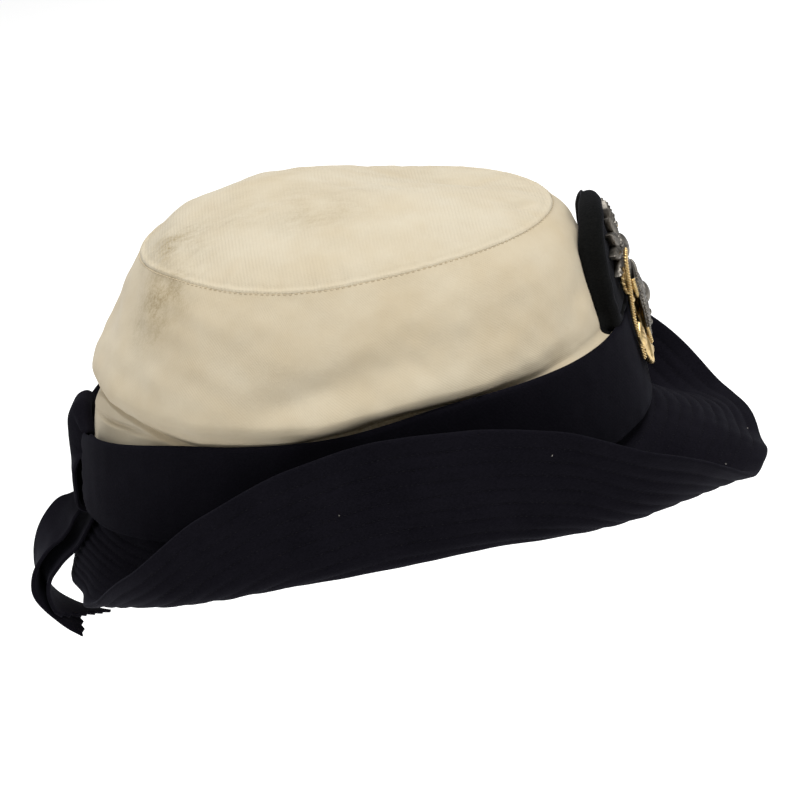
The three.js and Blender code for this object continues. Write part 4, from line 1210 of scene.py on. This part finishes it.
pad_rings = layered(outline_ring(PAD_OUTLINE, 150), PAD_MIDDLE, PAD_ROUNDING, 81)
across, up, out = (pad_rings[..., i] for i in range(3))
out += uneven(pad_rings, "pad")
out += FAR_WALL * smoothstep(-across, -6, 20) * smoothstep(-out, 3.2, 9)
up -= TOP_WALL * smoothstep(up, 62, 72) * smoothstep(-out, 3, 9)
at_foot = 1 - smoothstep(np.abs(up - 29), 3, 9)
across += FOOT_WALL * smoothstep(across, 15, 27) * smoothstep(-out, 3, 7) * at_foot
pad_points, pad_faces = capped_rings(pad_rings)
pad_bent = bent(pad_points)
front = outer[np.cos(cover_theta[:, 0]) > 0.6][:, 10::3].reshape(-1, 3)
for start in range(0, len(pad_bent), PAD_BATCH):
    part = pad_bent[start : start + PAD_BATCH]
    nearest = np.linalg.norm(part[:, None, 1:] - front[None, :, 1:], axis=-1).argmin(1)
    part[:, 0] = np.maximum(part[:, 0], front[nearest, 0] + PAD_CLEAR)
badge_pad = piece(
    "badge_pad_dressed", [(pad_bent, pad_faces)], pad_cloth, "badge_pad", pad_points[:, :2]
)

ANCHOR = {
    "lean": 33, "cross": 24, "below": 20.5, "above": 20, "out": 1.7, "shank": 1.5, "arms": 1.3, "reach": 9.6,
    "rise": 7, "stock": 1.1, "span": 7.5, "drop": 3, "ring": 2.7, "wire": 0.9, "apart": 0.12,
}
ARM_BEND = {"share": 0.62, "rise": 1.8}
FLUKE = {"long": 9, "wide": 6.6, "thick": 3, "splay": 18, "inset": 0.6, "foot": 4, "rib": 0.25, "past": 1.2, "in": 0.4}
ROPE = {"radius": 0.85, "sway": 3.4, "waves": 1.6, "start": 1, "short": 8, "sunk": 0.4, "strands": 3, "lay": 2.6}
STRAND = {"off": 0.52, "radius": 0.56, "sides": 7}  # shares of the rope's radius
BAR_STEPS, ARM_STEPS, EYE_STEPS = 24, 60, 40


def strands(path, radius, lay, count):
    """The strands of a rope laid along a path."""
    path = np.asarray(path, float)
    tangent = tangents(path, False)
    normal = unit(np.cross(tangent, np.array([0.0, 0.0, 1.0])))
    across = np.cross(tangent, normal)
    bodies = []
    for i in range(count):
        turn = ((run_length(path) / lay + i / count) * TAU)[:, None]
        middle = path + radius * STRAND["off"] * (np.cos(turn) * normal + np.sin(turn) * across)
        bodies.append(tube(middle, radius * STRAND["radius"], STRAND["sides"]))
    return bodies


LENS = {"sweep": 0.25, "rib": 0.16, "vein": 0.16, "slant": 0.9, "pitch": 1.5}


def lens(half_long, half_wide, half_thick, rib=0.0, steps=14, sides=16, below=0.0):
    """A leaf-like lens along X with a raised rib along its middle, its underside let down by below."""
    t = np.linspace(-0.985, 0.985, steps)
    turn = full_turn(sides)
    width = half_wide * (1 - np.abs(t) ** 1.7)
    thick = half_thick * (1 - np.abs(t) ** 2.2) ** 0.6
    y = width[:, None] * np.cos(turn)[None, :]
    x = np.broadcast_to(half_long * t[:, None], y.shape) - LENS["sweep"] * np.abs(y)
    above = np.clip(np.sin(turn), 0, 1)[None, :]
    z = thick[:, None] * np.sin(turn)[None, :] + rib * hump(y, LENS["rib"] * half_wide) * (above > 0)
    veins = np.sin((x + LENS["slant"] * np.abs(y)) * TAU / LENS["pitch"])
    z = z + LENS["vein"] * half_thick * veins * above - below * (above == 0)
    return capped_rings(np.stack([x, y, z], -1))


def ball_rings(radius, flat=1.0, steps=10, sides=16):
    t = np.linspace(0.06, math.pi - 0.06, steps)[:, None]
    turn = full_turn(sides)[None, :]
    x = radius * np.sin(t) * np.cos(turn)
    y = radius * np.sin(t) * np.sin(turn)
    return np.stack([x, y, np.broadcast_to(radius * flat * np.cos(t), x.shape)], -1)


def ball(*shape):
    return capped_rings(ball_rings(*shape))


def turned(body, degrees):
    a = math.radians(degrees)
    return body[0] @ np.array([[math.cos(a), math.sin(a), 0], [-math.sin(a), math.cos(a), 0], [0, 0, 1]]), body[1]


def moved_by(body, x=0.0, y=0.0, z=0.0):
    return body[0] + np.array([x, y, z]), body[1]


def flipped(body):
    return body[0] * np.array([-1.0, 1.0, 1.0]), [g[:, ::-1] for g in body[1]]


def anchor_bodies():
    a = ANCHOR
    out, foot, stock_up = a["out"], -a["below"], a["above"] - a["drop"]
    bend, reach = ARM_BEND["share"] * a["reach"], a["reach"]
    arm = [(bend, ARM_BEND["rise"] + foot, out), (reach, a["rise"] + foot, out)]
    arms = [(-x, y, z) for x, y, z in reversed(arm)] + [(0, foot, out)] + arm
    even = np.abs(np.linspace(-1, 1, BAR_STEPS))
    t = np.linspace(0, 1, 150)
    rope = np.stack([
        ROPE["sway"] * np.sin(TAU * ROPE["waves"] * t),
        a["above"] - ROPE["start"] - t * (a["below"] + a["above"] - ROPE["short"]),
        np.full_like(t, out + a["shank"] + ROPE["sunk"] * ROPE["radius"]),
    ], -1)
    turn = full_turn(EYE_STEPS)
    ring = a["ring"]
    eye = np.stack([ring * np.cos(turn), a["above"] + ring + ring * np.sin(turn), np.full(EYE_STEPS, out)], -1)
    shank = np.linspace((0, foot, out), (0, a["above"] + a["wire"], out), BAR_STEPS)
    stock = np.linspace((-a["span"], stock_up, out), (a["span"], stock_up, out), BAR_STEPS)
    bodies = [
        tube(shank, np.linspace(1.12, 0.9, BAR_STEPS) * a["shank"], 14),
        tube(stock, a["stock"] * (1 - 0.35 * even), 12),
        tube(curve_points(arms, False, ARM_STEPS)[0], a["arms"] * (1 - 0.3 * np.linspace(-1, 1, ARM_STEPS) ** 2), 12),
        *strands(rope, ROPE["radius"], ROPE["lay"], ROPE["strands"]),
        tube(eye, a["wire"], 10, closed=True),
    ]
    for side in (-1, 1):
        bodies.append(moved_by(ball(a["stock"] * 1.25), side * a["span"], stock_up, out))
        blade = lens(FLUKE["long"] / 2 + FLUKE["past"], FLUKE["wide"] / 2, FLUKE["thick"] / 2, FLUKE["rib"])
        blade = turned(moved_by(blade, FLUKE["long"] / 2 - FLUKE["in"]), 90 - side * FLUKE["splay"])
        bodies.append(moved_by(blade, side * (reach - FLUKE["inset"]), FLUKE["foot"] + foot, out))
    return bodies


# The rope that hangs from each anchor's ring past the side of the shield, and its bight: across, up and out
ROPE_FALL = [
    (13.5, 53.5, 4.6), (17.2, 51.5, 4.5), (17.8, 47, 3.9), (17.6, 40.2, 3), (18, 35, 2.3), (17.6, 29.8, 1.5),
    (18, 24.9, 1.2), (17.6, 20.5, 1.2), (18, 16.4, 1.2), (18.6, 11, 1.2),
]
ROPE_BIGHT = [(17.4, 48, 3.6), (18.4, 47, 2.2), (18.8, 43, 1.3), (18.4, 39.4, 1.4), (17.6, 37.4, 2)]
FALL = {"radius": 0.85, "lay": 2.2, "strands": 2}
CROSSING = {"radius": 6.5, "flat": 0.28, "up": 4, "out": 0.9}

gold_bodies = []
for side in (-1, 1):
    for rows, steps in ((ROPE_FALL, 260), (ROPE_BIGHT, 90)):
        fall = curve_points(rows, False, steps)[0] * np.array([side, 1, 1])
        gold_bodies += strands(fall, FALL["radius"], FALL["lay"], FALL["strands"])
    for body in anchor_bodies():
        gold_bodies.append(moved_by(turned(body, -side * ANCHOR["lean"]), 0, ANCHOR["cross"], ANCHOR["apart"] * side))
boss = ball(CROSSING["radius"], CROSSING["flat"], 14, 30)
gold_bodies.append(moved_by(boss, 0, ANCHOR["cross"] + CROSSING["up"], CROSSING["out"]))
gold_bodies = [(bent(points), groups) for points, groups in gold_bodies]
piece("badge_anchors_dressed", gold_bodies, gilt, "badge_anchors")

SHIELD_OUTLINE = [(12.5, 1.2), (16, 5.5), (21, 8.8), (28, 10.4), (36, 10.6), (40, 10)]
SHIELD_MIDDLE = 28.0
SHIELD_DOME = table(
    "share scale out",
    (0, 0.02, 5),
    (1, 0.6, 5),
    (2, 0.99, 4.8),
    (3, 1.01, 5.15),
    (4, 0.985, 5.65),
    (5, 0.94, 5.75),
    (6, 0.9, 5.5),
    (7, 0.8, 6.2),
    (8, 0.5, 6.95),
    (9, 0.02, 7.3),
)
BEADS = {"count": 46, "inset": 0.045, "radius": 0.72, "out": 5.9}
STUDS, STUD_OUT = table("radius flat up", (4.2, 0.5, 30), (2.1, 0.9, 30), (1.5, 0.8, 21.5), (1.2, 0.8, 17.5)), 6.8
LEAVES = table("turn from long", (-9, 6, 15.5), (12, 6, 15.5), (33, 6, 15.5), (54, 5, 14.5), (76, 4, 13.5))
LEAF = {"root": 50, "wide": 2.9, "thick": 1.5, "out": 2, "overlap": 1, "rib": 0.35, "below": 1.3}
BERRIES, BERRY = table("across up", (4.5, 61), (9.5, 57), (12.5, 51), (7.2, 53.5)), {"radius": 1.15, "out": 3.3}
KNOB = {"radius": 5.2, "flat": 0.55, "out": 3.2, "lobes": 8, "lobe": 0.06}
NECK_OUTLINE = [(33, 8.5), (38, 9), (43, 8), (48, 7.5), (52, 7)]
NECK_MIDDLE = 43.0
NECK_ROUNDING = table(
    "share scale out", (0, 0.02, 0), (1, 0.98, 0), (2, 1.0, 2.6), (3, 0.9, 3.9), (4, 0.5, 4.4), (5, 0.02, 4.6)
)
CREST_SUNK, FOOT_SUNK = 0.7, 1.5  # how far the crest is set back, and its foot beside that

shield_rings = layered(outline_ring(SHIELD_OUTLINE, 110), SHIELD_MIDDLE, SHIELD_DOME, 46)
shield_rings[..., 2] += smoothstep(shield_rings[..., 2], 5.9, 6.3) * uneven(shield_rings * FLAT, "shield")
silver_bodies = [capped_rings(shield_rings)]
for x, y in outline_ring(SHIELD_OUTLINE, BEADS["count"]) * (1 - BEADS["inset"]):
    bead = ball(BEADS["radius"], 1.0, 6, 9)
    silver_bodies.append(moved_by(bead, x, y + BEADS["inset"] * SHIELD_MIDDLE, BEADS["out"]))
for row in rows_of(STUDS):
    silver_bodies.append(moved_by(ball(row["radius"], row["flat"], 12, 20), 0, row["up"], STUD_OUT))
for side in (-1, 1):
    for row in rows_of(LEAVES):
        half = row["long"] / 2
        leaf = lens(half + LEAF["overlap"], LEAF["wide"], LEAF["thick"], LEAF["rib"], 44, 24, LEAF["below"])
        leaf = turned(moved_by(leaf, row["from"] + half, 0, LEAF["out"]), row["turn"])
        silver_bodies.append(moved_by(flipped(leaf) if side < 0 else leaf, 0, LEAF["root"]))
    for row in rows_of(BERRIES):
        silver_bodies.append(moved_by(ball(BERRY["radius"]), side * row["across"], row["up"], BERRY["out"]))
knob = ball_rings(KNOB["radius"], KNOB["flat"], 18, 36)
lobes = KNOB["lobe"] * np.cos(KNOB["lobes"] * np.arctan2(knob[..., 1], knob[..., 0]))
knob *= 1 + lobes[..., None] * np.array([1, 1, 0.4])
silver_bodies.append(moved_by(capped_rings(knob), 0, LEAF["root"], KNOB["out"]))
neck_rings = layered(outline_ring(NECK_OUTLINE, 80), NECK_MIDDLE, NECK_ROUNDING, 26)
neck_rings[..., 2] += smoothstep(neck_rings[..., 2], 2.6, 3.6) * uneven(neck_rings * FLAT, "neck")
silver_bodies.append(capped_rings(neck_rings))
for points, _ in silver_bodies:
    points[:, 2] -= CREST_SUNK + FOOT_SUNK * (1 - smoothstep(points[:, 1], 10, 30))
silver_bodies = [(bent(points), groups) for points, groups in silver_bodies]
piece("badge_crest_dressed", silver_bodies, silvered, "badge_crest")


# Lint on the wool: where each lies, and how long it is

LINT = table(
    "angle from_edge side long",
    (1.2, 5, 1, 1.6),
    (335.7, 3.4, 1, 1.9),
    (341, 12, 1, 1.2),
    (226.5, 4, 1, 1.7),
    (262, 21, -1, 0.6),
    (298, 8, -1, 0.6),
    (40, 12, 1, 1.2),
    (150, 10, 1, 1.1),
    (95, 16, -1, 1.0),
    (120, 7, -1, 1.1),
)
LINT_RADIUS, LINT_OFF, LINT_LIFT = 0.1, 0.16, 0.1
lint_bodies = []
lint_draw = np.random.default_rng(90)
for row in rows_of(LINT):
    spot, normal, _ = brim_surface(np.radians([row["angle"]]), np.array([[row["from_edge"]]]), row["side"])
    spot, normal = spot[0, 0], unit(normal[0, 0])
    way = unit(np.cross(normal, lint_draw.normal(size=3)))
    curl = lint_draw.uniform(0.5, 1.1)
    t = np.linspace(-0.5, 0.5, 9)[:, None]
    path = spot + row["long"] * (way * t + np.cross(normal, way) * curl * t**2)
    lint_bodies.append(tube(path + normal * (LINT_OFF + LINT_LIFT * np.cos(6 * t)), LINT_RADIUS, 5))
piece("lint", lint_bodies, lint_fibre)


# Stage

FLOOR_Z, FLOOR_HALF = -0.3, 8
WHITE = (1, 1, 1, 1)
floor_mesh = bpy.data.meshes.new("floor")
floor_corners = [(x * FLOOR_HALF, y * FLOOR_HALF, FLOOR_Z) for x, y in ((-1, -1), (1, -1), (1, 1), (-1, 1))]
floor_mesh.from_pydata(floor_corners, [], [(0, 1, 2, 3)])
floor = show("floor", floor_mesh)
floor_paint, floor_tree, floor_shader = material("floor_paint")
fill(floor_tree, floor_shader, {
    "Base Color": (0.93, 0.93, 0.93, 1), "Roughness": 0.9, "Emission Color": WHITE, "Emission Strength": 0.42,
})
floor_mesh.materials.append(floor_paint)

world = bpy.data.worlds.new("studio")
world.use_nodes = True
fill(world.node_tree, world.node_tree.nodes["Background"], {"Color": WHITE, "Strength": 0.32})
scene.world = world
scene.view_settings.view_transform = "Standard"


def area_light(name, place, target, size, power):
    data = bpy.data.lights.new(name, "AREA")
    data.size = size
    data.energy = power
    back = unit(np.array(place) - np.array(target))
    right = unit(np.cross([0, 0, 1.0], back))
    axes = np.stack([right, np.cross(back, right), back], 1)
    show(name, data).matrix_world = Matrix([*((*axis, p) for axis, p in zip(axes, place)), (0, 0, 0, 1)])


area_light("key", (0.6, -0.42, 2.15), (0, 0, 0.03), 0.95, 48)
area_light("fill", (0.7, -1.9, 1.9), (0, 0, 0.03), 1.4, 2)
area_light("left", (-2.1, -0.8, 1.0), (0, 0, 0.04), 1.3, 10)
area_light("back", (-0.4, 1.5, 1.7), (0, 0, 0.03), 1.2, 10)
